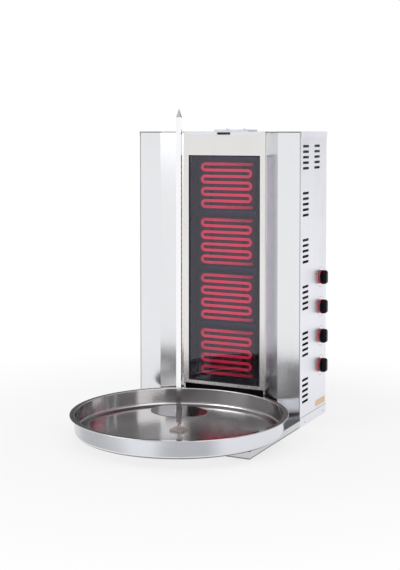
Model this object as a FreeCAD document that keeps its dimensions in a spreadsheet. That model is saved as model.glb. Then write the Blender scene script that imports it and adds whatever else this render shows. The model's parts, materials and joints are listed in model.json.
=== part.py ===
import FreeCAD, Part
import math
import os
import Sketcher
from FreeCAD import Placement, Rotation, Vector

# An upright electric kebab grill: a steel housing with four glowing elements behind
# glass, a drip pan on a flat base in front of it, and a vertical spit that turns in the pan.
# Local frame of every piece: x to the right, y backwards from the housing's front plane,
# z up from the floor. Each piece's placement then moves it back by front_plane, so that
# the whole object stands centred over the origin.

doc = FreeCAD.newDocument("kebab_grill")
dims = doc.addObject("Spreadsheet::Sheet", "dims")

sizes = {
    # housing and base
    "housing_width": 532.0,
    "housing_depth": 214.0,
    "housing_height": 860.0,
    "base_reach": 359.0,
    "base_height": 20.0,
    "base_sheet": 1.2,
    "base_slot": 6.0,
    "panel_sheet": 1.0,
    "skirt_step": 1.0,
    "skirt_height": 26.0,
    # clearances
    "lap_gap": 0.1,
    "fit_gap": 0.3,
    "running_gap": 0.05,
    "press_gap": 0.02,
    "hole_gap": 0.1,
    # feet
    "foot_reveal": 1.5,
    "foot_radius": 16.0,
    "foot_side_inset": 39.9,
    "foot_front_inset": 29.0,
    "foot_back_inset": 34.0,
    "foot_cup_radius": 6.0,
    "foot_cup_depth": 5.3,
    "boss_radius": 5.0,
    "boss_height": 5.5,
    "screw_radius": 2.0,
    "screw_head_radius": 4.5,
    "screw_head_height": 3.0,
    "screw_length": 14.6,
    # rivets of the side skirts
    "rivet_radius": 1.6,
    "rivet_head_radius": 3.0,
    "rivet_head_height": 1.4,
    "rivet_front": 35.0,
    "rivet_back_inset": 24.0,
    "rivet_height": 9.0,
    # columns and the recess between them
    "column_width": 72.0,
    "column_leg": 15.0,
    "column_flange": 5.4,
    "column_top_gap": 0.9,
    "bend_radius": 1.4,
    "recess_width": 274.0,
    "recess_depth": 43.0,
    # centre frame, glass and its seal
    "frame_bottom": 86.7,
    "frame_hem": 8.0,
    "window_width": 237.4,
    "window_bottom": 96.6,
    "window_top": 788.1,
    "seal_show": 3.2,
    "seal_lap": 9.3,
    "seal_depth": 1.9,
    "glass_lap": 8.8,
    "glass_thick": 4.0,
    "clip_height": 20.0,
    "clip_reach": 7.0,
    "clip_sheet": 1.2,
    "clip_count": 4,
    "clip_pitch": 200.0,
    "clip_bottom": 145.0,
    # side vents
    "vent_length": 48.0,
    "vent_width": 7.6,
    "vent_depth_place": 41.0,
    "vent_top": 817.5,
    "vent_pitch": 16.0,
    "vent_slots": 5,
    "vent_group_pitch": 136.7,
    "vent_groups": 6,
    "rear_vent_length": 46.0,
    "rear_vent_place": 132.4,
    # cover
    "cover_flange": 16.0,
    "lip_height": 10.5,
    "lip_width": 236.0,
    "lip_shoulder": 9.0,
    "cap_width": 112.0,
    "cap_depth": 80.0,
    "cap_rise": 6.0,
    "cap_place": 130.0,
    "cap_corner": 4.0,
    "cap_screw_spread": 57.2,
    "cap_screw_length": 14.0,
    "cap_screw_head": 2.0,
    # socket for the arm that steadies the spit
    "arm_width": 43.2,
    "arm_height": 7.2,
    "arm_wall": 1.2,
    "arm_depth": 98.0,
    # back panel and inner sheet work
    "back_flange": 14.0,
    "back_screw_bottom": 60.0,
    "back_screw_pitch": 380.0,
    "shelf_depth": 74.0,
    "apron_clear": 9.0,
    "apron_margin": 2.0,
    "rail_sheet": 1.2,
    "rail_flange": 13.0,
    "shield_width": 250.0,
    "shield_gap": 4.0,
    "shield_hole_radius": 8.0,
    # heaters
    "zone_top": 696.0,
    "zone_pitch": 170.0,
    "tray_width": 200.0,
    "tray_height": 150.0,
    "tray_depth": 32.0,
    "tray_sheet": 0.8,
    "tray_flange": 12.0,
    "tray_setback": 4.0,
    "wool_thick": 9.0,
    "element_radius": 4.25,
    "element_run": 143.2,
    "run_pitch": 18.7,
    "run_count": 8,
    "element_inset": 8.0,
    "element_tail": 98.0,
    "support_width": 3.0,
    "support_spread": 110.0,
    "bead_radius": 6.0,
    "bead_length": 10.0,
    "stud_radius": 2.0,
    "stud_length": 10.0,
    # energy regulators, knobs and skirts
    "knob_inset": 45.6,
    "knob_top": 421.3,
    "knob_pitch": 89.1,
    "knob_height": 41.0,
    "knob_thick": 15.0,
    "knob_length": 17.1,
    "knob_base_radius": 20.0,
    "knob_base_thick": 3.2,
    "knob_corner": 8.0,
    "knob_edge": 1.8,
    "knob_socket": 12.0,
    "skirt_radius": 20.5,
    "skirt_thick": 3.0,
    "skirt_bevel": 0.5,
    "skirt_air": 0.8,
    "shaft_radius": 3.0,
    "shaft_inside": 25.6,
    "bush_radius": 5.0,
    "nut_radius": 8.0,
    "nut_thick": 2.8,
    "nut_clear": 1.0,
    "regulator_side": 46.0,
    "regulator_depth": 40.0,
    "blade_length": 8.0,
    "blade_width": 6.3,
    "blade_thick": 0.8,
    "blade_pitch": 12.0,
    # supply inlet
    "gland_place": 200.0,
    "gland_rise": 60.0,
    "gland_reach": 18.0,
    "gland_hex_radius": 13.8,
    "gland_hex_length": 8.0,
    "gland_nose_radius": 10.5,
    "gland_thread_radius": 10.0,
    "gland_inside": 9.0,
    "gland_bore_radius": 5.5,
    "gland_nut_thick": 4.0,
    "lead_clear": 2.0,
    "lead_straight": 40.0,
    "lead_sweep": 75.0,
    "lead_step": 10.0,
    "lead_stand": 34.0,
    "lead_loop": 25.0,
    "block_length": 60.0,
    "block_depth": 22.0,
    "block_height": 24.0,
    "block_inset": 62.0,
    "block_side": 150.0,
    "block_hole_radius": 3.0,
    "wire_radius": 1.6,
    # blank plate low on the right side
    "label_inset": 8.0,
    "label_length": 79.0,
    "label_bottom": 34.5,
    "label_height": 17.5,
    "label_thick": 0.3,
    # pan, spit and disc
    "spit_offset": 250.0,
    "pan_rim_radius": 307.0,
    "pan_flange": 14.0,
    "pan_rim_height": 74.0,
    "pan_sheet": 1.2,
    "pan_corner": 13.0,
    "pan_bead_radius": 1.8,
    "pan_roll": 2.6,
    "socket_side": 41.0,
    "socket_height": 6.0,
    "socket_bevel": 1.5,
    "spit_side": 14.0,
    "spit_turn": 15.4,
    "spit_shoulder": 899.5,
    "spit_tip": 24.5,
    "spit_point": 0.8,
    "spit_start": 45.0,
    "spit_cone": 7.0,
    "pivot_radius": 3.0,
    "stop_radius": 2.0,
    "stop_length": 26.0,
    "disc_radius": 80.0,
    "disc_thick": 3.0,
    "disc_height": 75.0,
    "disc_hole": 15.0,
    "disc_tilt": 3.54,
    "disc_lean": 67.8,
}
for row, (name, value) in enumerate(sizes.items(), start=1):
    dims.set(f"A{row}", name)
    dims.set(f"B{row}", str(value))
    dims.setAlias(f"B{row}", name)
doc.recompute()


def number(expression):
    """The value that an expression on the sheet has now."""
    return float(dims.evalExpression(expression))


# Places worked out from the sheet, as expressions

half_width = "(dims.housing_width / 2)"
panel_out = f"({half_width} - dims.skirt_step)"
panel_in = f"({panel_out} - dims.panel_sheet)"
skirt_in = f"({half_width} - dims.panel_sheet)"
base_out = f"({skirt_in} - dims.lap_gap)"
column_out = f"({panel_in} - dims.lap_gap)"
column_in = f"({half_width} - dims.column_width)"
recess_half = "(dims.recess_width / 2)"
back_reach = "(dims.housing_depth + dims.lap_gap + dims.panel_sheet + dims.lap_gap + dims.gland_reach)"
front_plane = f"((dims.spit_offset + dims.pan_rim_radius - {back_reach}) / 2)"

ground = "dims.foot_reveal"
deck_top = f"({ground} + dims.base_height)"
deck_under = f"({deck_top} - dims.base_sheet)"
wall_bottom = f"({deck_top} + dims.lap_gap)"
cover_top = f"({ground} + dims.housing_height)"
cover_under = f"({cover_top} - dims.panel_sheet)"
wall_top = f"({cover_under} - dims.lap_gap)"
column_top = f"({cover_under} - dims.column_top_gap)"

frame_front = "dims.recess_depth"
frame_back = "(dims.recess_depth + dims.panel_sheet)"
flange_front = f"({frame_back} + dims.lap_gap)"
flange_back = f"({flange_front} + dims.panel_sheet)"
seal_back = f"({flange_front} + dims.seal_depth)"
glass_front = f"({seal_back} + dims.lap_gap)"
glass_back = f"({glass_front} + dims.glass_thick)"
tray_front = f"({glass_back} + dims.tray_setback)"
tray_back = f"({tray_front} + dims.tray_depth)"
element_plane = f"({tray_front} + dims.element_inset)"
wool_back = f"({tray_back} - dims.tray_sheet - dims.lap_gap)"
wool_front = f"({wool_back} - dims.wool_thick)"
rail_front = f"({tray_front} + dims.tray_sheet + dims.lap_gap)"
shield_front = f"({tray_back} + dims.shield_gap)"
rail_back = f"({shield_front} - dims.lap_gap)"

reflector_slope = f"(({column_in} - {recess_half}) / dims.recess_depth)"
reflector_end = f"({column_in} - {flange_front} * {reflector_slope})"
frame_half = f"({column_in} - {frame_back} * {reflector_slope} - dims.fit_gap)"
flange_in = f"({reflector_end} - dims.column_flange)"
bend_inset = f"(dims.panel_sheet * tan(atan(1 / {reflector_slope}) / 2))"
inner_half = f"({flange_in} - dims.fit_gap)"
window_half = "(dims.window_width / 2)"
arm_half = "(dims.arm_width / 2 + dims.arm_wall)"
arm_top = f"({cover_under} - dims.lap_gap)"
arm_bottom = f"({arm_top} - dims.arm_height - 2 * dims.arm_wall)"
notch_half = f"({arm_half} + dims.fit_gap)"
lip_front = f"({frame_front} - dims.panel_sheet - 2 * dims.lap_gap)"
hem_bottom = f"({ground} + dims.frame_bottom)"
shelf_bottom = f"({hem_bottom} + dims.panel_sheet + dims.lap_gap)"
shelf_top = f"({shelf_bottom} + dims.panel_sheet)"

tail_side = "(dims.element_run / 2 + dims.run_pitch / 2)"
zone_half = "((dims.run_count - 1) * dims.run_pitch / 2)"
rim_top = f"({ground} + dims.pan_rim_height)"
pan_bottom = f"({deck_top} + dims.fit_gap)"
pan_floor = f"({pan_bottom} + dims.pan_sheet)"
spit_y = f"({front_plane} - dims.spit_offset)"
disc_middle = f"({ground} + dims.disc_height)"
pin_slope = "(tan(dims.disc_tilt * 1 deg) * cos((dims.disc_lean - dims.spit_turn) * 1 deg))"
pin_middle = (f"({disc_middle} - dims.disc_thick / 2 / cos(dims.disc_tilt * 1 deg)"
              f" - dims.stop_length / 2 * {pin_slope} - dims.fit_gap - dims.stop_radius)")
skirt_start = f"({panel_out} + dims.skirt_air)"
skirt_end = f"({skirt_start} + dims.skirt_thick)"
knob_start = f"({skirt_end} + dims.lap_gap)"
knob_depth = "(dims.housing_depth - dims.knob_inset)"
bush_end = f"({knob_start} - dims.fit_gap)"
rivet_depths = ("dims.rivet_front", "(dims.housing_depth - dims.rivet_back_inset)")
shelf_front = f"({frame_back} + 2 * dims.panel_sheet)"
apron_front = f"max(dims.pan_rim_radius - dims.spit_offset + dims.apron_clear; {shelf_front})"
back_face = "(dims.housing_depth + dims.lap_gap)"
back_out = f"({back_face} + dims.panel_sheet)"


def knob_level(k):
    """Height of regulator k's axis, counted from the top."""
    return f"({ground} + dims.knob_top - {k} * dims.knob_pitch)"


def zone_level(k):
    """Height of heating zone k's middle, counted from the top."""
    return f"({ground} + dims.zone_top - {k} * dims.zone_pitch)"


# Building blocks

nodes = []


def keep(item, name, back=front_plane):
    """Name a finished piece and move it back into the object's own frame."""
    item.Label = name
    bound = {path.lstrip("."): rule for path, rule in item.ExpressionEngine}
    start = bound.get("Placement.Base.y", "0")
    item.setExpression("Placement.Base.y", f"{start} + {back}")
    nodes.append(item)
    return item


def bind_place(item, x, y, z):
    """Tie a solid's position to the sheet."""
    item.setExpression("Placement.Base.x", x)
    item.setExpression("Placement.Base.y", y)
    item.setExpression("Placement.Base.z", z)


def block(name, x, y, z):
    """A block between three pairs of faces."""
    solid = doc.addObject("Part::Box", name)
    solid.setExpression("Length", f"{x[1]} - ({x[0]})")
    solid.setExpression("Width", f"{y[1]} - ({y[0]})")
    solid.setExpression("Height", f"{z[1]} - ({z[0]})")
    bind_place(solid, x[0], y[0], z[0])
    return solid


turns = {
    "x": Rotation(Vector(0, 1, 0), 90),
    "y": Rotation(Vector(1, 0, 0), -90),
    "z": Rotation(),
}


def rod(name, axis, start, radius, length):
    """A round bar from a point along an axis."""
    solid = doc.addObject("Part::Cylinder", name)
    solid.Placement = Placement(Vector(), turns[axis])
    solid.setExpression("Radius", radius)
    solid.setExpression("Height", length)
    bind_place(solid, *start)
    return solid


def cone(name, axis, start, radii, length):
    """A cone or a taper from a point along an axis."""
    solid = doc.addObject("Part::Cone", name)
    solid.Placement = Placement(Vector(), turns[axis])
    solid.setExpression("Radius1", radii[0])
    solid.setExpression("Radius2", radii[1])
    solid.setExpression("Height", length)
    bind_place(solid, *start)
    return solid


def hexagon(name, axis, start, radius, length):
    """A six-sided bar from a point along an axis."""
    solid = doc.addObject("Part::Prism", name)
    solid.Polygon = 6
    solid.Placement = Placement(Vector(), turns[axis])
    solid.setExpression("Circumradius", radius)
    solid.setExpression("Height", length)
    bind_place(solid, *start)
    return solid


def join(name, parts):
    """Several solids made one."""
    whole = doc.addObject("Part::MultiFuse", name)
    whole.Shapes = parts
    whole.Refine = True
    return whole


def remove(name, base, tools):
    """A solid less one or more others."""
    tool = tools[0]
    if len(tools) > 1:
        tool = group(f"{name}_tools", tools)
    rest = doc.addObject("Part::Cut", name)
    rest.Base = base
    rest.Tool = tool
    return rest


def group(name, parts):
    """Separate solids kept in one piece."""
    whole = doc.addObject("Part::Compound", name)
    whole.Links = parts
    return whole


def body(name):
    """A part-design body."""
    return doc.addObject("PartDesign::Body", name)


def origin(owner, role):
    """One of a body's own planes or axes."""
    return [feature for feature in owner.Origin.OriginFeatures if feature.Role == role][0]


def sketch(owner, role, offset="0"):
    """An empty sketch on one of the body's planes, offset along the plane's normal."""
    drawn = owner.newObject("Sketcher::SketchObject", f"{owner.Name}_sketch")
    drawn.AttachmentSupport = [(origin(owner, role), "")]
    drawn.MapMode = "FlatFace"
    drawn.setExpression(".AttachmentOffset.Base.z", offset)
    return drawn


def bind(drawn, kind, *where_value_rule):
    """Add a dimension to a sketch and tie it to the sheet."""
    rule = where_value_rule[-1]
    index = drawn.addConstraint(Sketcher.Constraint(kind, *where_value_rule[:-1], number(rule)))
    drawn.setExpression(f"Constraints[{index}]", rule)


def pin_point(drawn, geometry, point, x, y):
    """Fix a point of the sketch by its distances from the origin."""
    bind(drawn, "DistanceX", -1, 1, geometry, point, x)
    bind(drawn, "DistanceY", -1, 1, geometry, point, y)


def polygon(drawn, corners):
    """A closed outline of straight lines through the corners."""
    places = [Vector(number(x), number(y), 0) for x, y in corners]
    first = drawn.GeometryCount
    count = len(corners)
    for k in range(count):
        drawn.addGeometry(Part.LineSegment(places[k], places[(k + 1) % count]))
    for k in range(count):
        drawn.addConstraint(Sketcher.Constraint("Coincident", first + k, 2, first + (k + 1) % count, 1))
        pin_point(drawn, first + k, 1, *corners[k])


def rectangle(drawn, x, y):
    """A rectangle between two pairs of lines."""
    polygon(drawn, [(x[0], y[0]), (x[1], y[0]), (x[1], y[1]), (x[0], y[1])])


def circle(drawn, x, y, radius):
    """A circle about a point."""
    ring = Part.Circle(Vector(number(x), number(y), 0), Vector(0, 0, 1), number(radius))
    place = drawn.addGeometry(ring)
    pin_point(drawn, place, 3, x, y)
    bind(drawn, "Radius", place, radius)


def slot(drawn, x, y, length, width):
    """A round-ended slot about a point, along the sketch's first axis."""
    radius = f"{width} / 2"
    ends = (f"{x} - {length} / 2 + {radius}", f"{x} + {length} / 2 - {radius}")
    high = number(y) + number(radius)
    low = number(y) - number(radius)
    left, right = number(ends[0]), number(ends[1])
    up = Vector(0, 0, 1)
    half = math.pi / 2
    left_ring = Part.Circle(Vector(left, number(y), 0), up, number(radius))
    right_ring = Part.Circle(Vector(right, number(y), 0), up, number(radius))
    left_end = drawn.addGeometry(Part.ArcOfCircle(left_ring, half, 3 * half))
    lower = drawn.addGeometry(Part.LineSegment(Vector(left, low, 0), Vector(right, low, 0)))
    right_end = drawn.addGeometry(Part.ArcOfCircle(right_ring, -half, half))
    upper = drawn.addGeometry(Part.LineSegment(Vector(right, high, 0), Vector(left, high, 0)))
    for a, b in ((left_end, lower), (lower, right_end), (right_end, upper), (upper, left_end)):
        drawn.addConstraint(Sketcher.Constraint("Tangent", a, 2, b, 1))
    for end, place in ((left_end, ends[0]), (right_end, ends[1])):
        pin_point(drawn, end, 3, place, y)
        bind(drawn, "Radius", end, radius)


def pad(owner, drawn, length, backwards=False):
    """Material pulled out of a sketch."""
    grown = owner.newObject("PartDesign::Pad", f"{owner.Name}_pad")
    grown.Profile = drawn
    grown.Reversed = backwards
    grown.setExpression("Length", length)
    return grown


def pocket(owner, drawn, length, backwards=False):
    """Material taken out under a sketch."""
    cut = owner.newObject("PartDesign::Pocket", f"{owner.Name}_pocket")
    cut.Profile = drawn
    cut.Reversed = backwards
    cut.setExpression("Length", length)
    return cut


def dress(owner, kind, radius, wanted):
    """Round or bevel the edges of a body that pass a test."""
    doc.recompute()
    base = owner.Tip
    edges = [f"Edge{k}" for k, edge in enumerate(base.Shape.Edges, start=1) if wanted(edge)]
    dressed = owner.newObject(f"PartDesign::{kind}", f"{owner.Name}_{kind.lower()}")
    dressed.Base = (base, edges)
    dressed.setExpression("Size" if kind == "Chamfer" else "Radius", radius)
    return dressed


def near(value, expression):
    """Whether a coordinate is at the place that an expression gives."""
    return abs(value - number(expression)) < 0.01


def upright_at(x, y):
    """A test for the vertical edge that stands at a place in plan."""
    def wanted(edge):
        """Whether both ends of the edge lie on that upright."""
        return all(near(v.X, x) and near(v.Y, y) for v in edge.Vertexes)
    return wanted


def ring_at(radius, z):
    """A test for the round edge of one radius at one height."""
    def wanted(edge):
        """Whether the edge is that circle."""
        return (isinstance(edge.Curve, Part.Circle) and near(edge.Curve.Radius, radius)
                and near(edge.Curve.Center.z, z))
    return wanted


def tube(name, edges, radius):
    """A round tube along a path of straight runs and tangent arcs."""
    path = Part.Wire(edges)
    start = path.Edges[0]
    direction = start.tangentAt(start.FirstParameter)
    section = Part.Wire(Part.makeCircle(radius, start.valueAt(start.FirstParameter), direction))
    shape = path.makePipeShell([section], True, False)
    expected = math.pi * radius ** 2 * path.Length
    print(f"{name}: volume over section times length {shape.Volume / expected:.4f}")
    return shape


def rounded_run(points):
    """Straight runs through the points, with an arc as large as its runs allow at each."""
    edges = []
    radii = []
    last = points[0]
    for before, corner, after in zip(points, points[1:], points[2:]):
        inward = (corner - before).normalize()
        outward = (after - corner).normalize()
        turn = inward.getAngle(outward)
        reach = 0.45 * min((corner - before).Length, (after - corner).Length)
        radius = reach / math.tan(turn / 2)
        towards = (outward - inward).normalize()
        middle = corner + towards * (radius / math.cos(turn / 2) - radius)
        edges.append(Part.LineSegment(last, corner - inward * reach).toShape())
        last = corner + outward * reach
        edges.append(Part.Arc(corner - inward * reach, middle, last).toShape())
        radii.append(radius)
    edges.append(Part.LineSegment(last, points[-1]).toShape())
    return edges, radii


# Base: an inverted tray whose deck carries the housing and the pan


def foot_places():
    """Where the four feet stand, in plan."""
    front = "(-dims.base_reach + dims.foot_front_inset)"
    back = "(dims.housing_depth - dims.foot_back_inset)"
    return [(f"({side} * ({base_out} - dims.foot_side_inset))", y) for side in (-1, 1) for y in (front, back)]


def rivet_places():
    """Side and depth of the four skirt rivets."""
    return [(side, depth) for side in (-1, 1) for depth in rivet_depths]


def base_tray():
    """The inverted tray, with a slot in each side flange and a boss over each foot."""
    front, back = "-dims.base_reach", "(dims.housing_depth - dims.lap_gap)"
    outer = block("tray_outer", (f"-{base_out}", base_out), (front, back), (ground, deck_top))
    wall = "dims.base_sheet"
    inner = block("tray_inner", (f"-{base_out} + {wall}", f"({base_out} - {wall})"),
                  (f"({front} + {wall})", f"({back} - {wall})"), (f"({ground} - 1)", deck_under))
    shell = remove("tray_shell", outer, [inner])
    bosses = []
    holes = []
    for x, y in foot_places():
        low = f"({deck_under} - dims.boss_height)"
        bosses.append(rod("tray_boss", "z", (x, y, low), "dims.boss_radius",
                          "dims.boss_height + dims.base_sheet / 2"))
        holes.append(rod("tray_screw_hole", "z", (x, y, f"({low} - 1)"),
                         "dims.screw_radius + dims.hole_gap", "dims.boss_height + dims.base_sheet + 2"))
    for side in (-1, 1):
        edge = f"({side} * {base_out})"
        holes.append(block("tray_slot", (f"({edge} - 2 * {wall})", f"({edge} + 2 * {wall})"),
                           ("-dims.base_slot", "0"), (f"({ground} - 1)", deck_under)))
    for side, depth in rivet_places():
        start = f"({side} * {base_out} - 2 * {wall})"
        holes.append(rod("tray_rivet_hole", "x", (start, depth, f"({ground} + dims.rivet_height)"),
                         "dims.rivet_radius + dims.hole_gap", f"4 * {wall}"))
    keep(remove("tray_drilled", join("tray_bossed", [shell] + bosses), holes), "base_tray")


def rubber_feet():
    """Four round feet, hollow under the screw head and over the boss."""
    feet = []
    for x, y in foot_places():
        full = rod("foot_block", "z", (x, y, "0"), "dims.foot_radius", f"{deck_under} - dims.lap_gap")
        cup = rod("foot_cup", "z", (x, y, "-1"), "dims.foot_cup_radius", "dims.foot_cup_depth + 1")
        bore = rod("foot_bore", "z", (x, y, "0"), "dims.screw_radius + 2 * dims.hole_gap", deck_under)
        seat = rod("foot_seat", "z", (x, y, f"({deck_under} - dims.boss_height - dims.fit_gap)"),
                   "dims.boss_radius + dims.fit_gap", "dims.boss_height + 1")
        feet.append(remove("foot", full, [cup, bore, seat]))
    keep(group("feet", feet), "rubber_feet")


def foot_screws():
    """A pan-head screw up through each foot into its boss."""
    screws = []
    for x, y in foot_places():
        head_low = "(dims.foot_cup_depth - dims.lap_gap - dims.screw_head_height)"
        head = rod("foot_screw_head", "z", (x, y, head_low), "dims.screw_head_radius",
                   "dims.screw_head_height")
        shank = rod("foot_screw_shank", "z", (x, y, f"({head_low} + dims.screw_head_height / 2)"),
                    "dims.screw_radius", "dims.screw_length + dims.screw_head_height / 2")
        screws.append(join("foot_screw", [head, shank]))
    keep(group("screws_under", screws), "foot_screws")


# Housing sheet work


def side_panel(name, side, drilled):
    """A side wall: a plate joggled out over the base, a back flange, and punched vents."""
    wall = body(name)
    step_low = f"({ground} + dims.skirt_height)"
    step_high = f"({step_low} + dims.skirt_step)"
    profile = sketch(wall, "XZ_Plane")
    outline = [(panel_in, wall_top), (panel_out, wall_top), (panel_out, step_high),
               (half_width, step_low), (half_width, ground), (skirt_in, ground),
               (skirt_in, f"({step_low} - dims.lap_gap)"), (panel_in, f"({step_high} - dims.lap_gap)")]
    polygon(profile, [(f"{side} * {x}", z) for x, z in outline])
    pad(wall, profile, "dims.housing_depth", backwards=True)
    flange = sketch(wall, "XY_Plane", wall_bottom)
    rectangle(flange, (f"{side} * ({panel_in} - dims.back_flange)", f"{side} * {panel_out}"),
              ("dims.housing_depth - dims.panel_sheet", "dims.housing_depth"))
    pad(wall, flange, f"{wall_top} - {wall_bottom}")
    face = panel_out if side > 0 else f"-{panel_in}"
    through = "dims.panel_sheet + dims.lap_gap"
    vents = sketch(wall, "YZ_Plane", face)
    rear_vents = sketch(wall, "YZ_Plane", face)
    for k in range(int(number("dims.vent_slots"))):
        level = f"({ground} + dims.vent_top - {k} * dims.vent_pitch)"
        slot(vents, "dims.vent_depth_place", level, "dims.vent_length", "dims.vent_width")
        slot(rear_vents, "dims.rear_vent_place", level, "dims.rear_vent_length", "dims.vent_width")
    pocket(wall, rear_vents, through)
    first_group = pocket(wall, vents, through)
    repeated = wall.newObject("PartDesign::LinearPattern", f"{name}_groups")
    repeated.Originals = [first_group]
    repeated.Direction = (origin(wall, "Z_Axis"), [""])
    repeated.Reversed = True
    repeated.setExpression("Length", "dims.vent_group_pitch * (dims.vent_groups - 1)")
    repeated.setExpression("Occurrences", "dims.vent_groups")
    wall.Tip = repeated
    skirt_face = half_width if side > 0 else f"-{skirt_in}"
    rivets = sketch(wall, "YZ_Plane", skirt_face)
    for depth in rivet_depths:
        circle(rivets, depth, f"({ground} + dims.rivet_height)", "dims.rivet_radius + dims.hole_gap")
    pocket(wall, rivets, through)
    screws = sketch(wall, "XZ_Plane", "-dims.housing_depth")
    for x, z in back_screw_places([side]):
        circle(screws, x, z, "dims.screw_radius + dims.hole_gap")
    pocket(wall, screws, "2 * dims.panel_sheet", backwards=True)
    if drilled:
        bushes = sketch(wall, "YZ_Plane", face)
        for k in range(4):
            circle(bushes, knob_depth, knob_level(k), "dims.bush_radius + dims.hole_gap")
        pocket(wall, bushes, through)
    keep(wall, name)


def back_screw_places(sides):
    """Where the back panel is screwed on, seen from behind."""
    across = f"({panel_in} - dims.back_flange / 2)"
    return [(f"({side} * {across})", f"({ground} + dims.back_screw_bottom + {k} * dims.back_screw_pitch)")
            for side in sides for k in range(3)]


def panel_rivets():
    """Dome-head rivets that hold the side skirts to the base."""
    rivets = []
    for side, depth in rivet_places():
        level = f"({ground} + dims.rivet_height)"
        shank_length = f"({half_width} - {base_out} + dims.base_sheet)"
        inside = f"({base_out} - dims.base_sheet)"
        shank_start = inside if side > 0 else f"-{half_width}"
        shank = rod("rivet_shank", "x", (shank_start, depth, level), "dims.rivet_radius", shank_length)
        head_radii = ["dims.rivet_head_radius", "dims.rivet_radius"]
        head_start = f"({half_width} + dims.lap_gap / 2)"
        neck_start = half_width
        if side < 0:
            head_radii.reverse()
            head_start = f"(-{half_width} - dims.lap_gap / 2 - dims.rivet_head_height)"
            neck_start = f"(-{half_width} - dims.lap_gap)"
        head = cone("rivet_head", "x", (head_start, depth, level), head_radii, "dims.rivet_head_height")
        neck = rod("rivet_neck", "x", (neck_start, depth, level), "dims.rivet_radius", "dims.lap_gap")
        rivets.append(join("rivet", [shank, neck, head]))
    keep(group("rivets", rivets), "panel_rivets")


def front_column(name, side):
    """A bent sheet: side leg, front face, slanted reflector and the flange behind the frame."""
    column = body(name)
    plan = sketch(column, "XY_Plane", wall_bottom)
    sheet = "dims.panel_sheet"
    outline = [(column_out, "dims.column_leg"), (column_out, "0"), (column_in, "0"),
               (reflector_end, flange_front), (flange_in, flange_front), (flange_in, flange_back),
               (f"({reflector_end} + {bend_inset})", flange_back),
               (f"({column_in} + {bend_inset})", sheet),
               (f"({column_out} - {sheet})", sheet), (f"({column_out} - {sheet})", "dims.column_leg")]
    polygon(plan, [(f"{side} * {x}", y) for x, y in outline])
    pad(column, plan, f"{column_top} - {wall_bottom}")
    for x in (column_out, column_in):
        dress(column, "Fillet", "dims.bend_radius", upright_at(f"{side} * {x}", "0"))
    keep(column, name)


def centre_frame():
    """The upright plate round the glass, with a notch at its top and a hem along its foot."""
    plate = body("centre_frame")
    drawn = sketch(plate, "XZ_Plane", f"-{frame_front}")
    notch_low = f"({arm_bottom} - dims.fit_gap)"
    polygon(drawn, [(f"-{frame_half}", hem_bottom), (frame_half, hem_bottom), (frame_half, wall_top),
                    (notch_half, wall_top), (notch_half, notch_low), (f"-{notch_half}", notch_low),
                    (f"-{notch_half}", wall_top), (f"-{frame_half}", wall_top)])
    rectangle(drawn, (f"-{window_half}", window_half),
              (f"({ground} + dims.window_bottom)", f"({ground} + dims.window_top)"))
    pad(plate, drawn, "dims.panel_sheet", backwards=True)
    hem = sketch(plate, "XY_Plane", hem_bottom)
    rectangle(hem, (f"-{inner_half}", inner_half), (frame_front, f"({frame_back} + dims.frame_hem)"))
    pad(plate, hem, "dims.panel_sheet")
    keep(plate, "centre_frame")


def glass():
    """The glass pane, the black seal in front of it and the clips that press it home."""
    low = f"({ground} + dims.window_bottom)"
    high = f"({ground} + dims.window_top)"
    seal_half = f"({window_half} + dims.seal_lap)"
    clear = f"({window_half} - dims.seal_show)"
    seal_drop = f"({low} - {shelf_top} - dims.fit_gap)"
    outer = block("seal_outer", (f"-{seal_half}", seal_half), (flange_front, seal_back),
                  (f"({low} - {seal_drop})", f"({high} + dims.seal_lap)"))
    inner = block("seal_inner", (f"-{clear}", clear), (f"({flange_front} - 1)", f"({seal_back} + 1)"),
                  (f"({low} + dims.seal_show)", f"({high} - dims.seal_show)"))
    keep(remove("seal", outer, [inner]), "glass_seal")
    glass_half = f"({window_half} + dims.glass_lap)"
    keep(block("pane", (f"-{glass_half}", glass_half), (glass_front, glass_back),
               (f"({low} - {seal_drop})", f"({high} + dims.glass_lap)")), "glass_panel")
    clips = []
    for side in (-1, 1):
        for k in range(int(number("dims.clip_count"))):
            level = f"({ground} + dims.clip_bottom + {k} * dims.clip_pitch)"
            levels = (level, f"({level} + dims.clip_height)")
            outside = f"({reflector_end} - dims.fit_gap)"
            leg = f"max({flange_in}; {glass_half} + dims.fit_gap)"
            tongue = f"({glass_half} - dims.clip_reach)"
            back = (f"({glass_back} + dims.lap_gap)", f"({glass_back} + dims.lap_gap + dims.clip_sheet)")
            leg_start = f"({flange_back} + dims.lap_gap)"
            if side > 0:
                tongue_span, leg_span = (tongue, outside), (leg, outside)
            else:
                tongue_span, leg_span = (f"-{outside}", f"-{tongue}"), (f"-{outside}", f"-{leg}")
            clips.append(join("clip", [block("clip_tongue", tongue_span, back, levels),
                                       block("clip_leg", leg_span, (leg_start, back[1]), levels)]))
    keep(group("clips", clips), "glass_clips")


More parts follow.
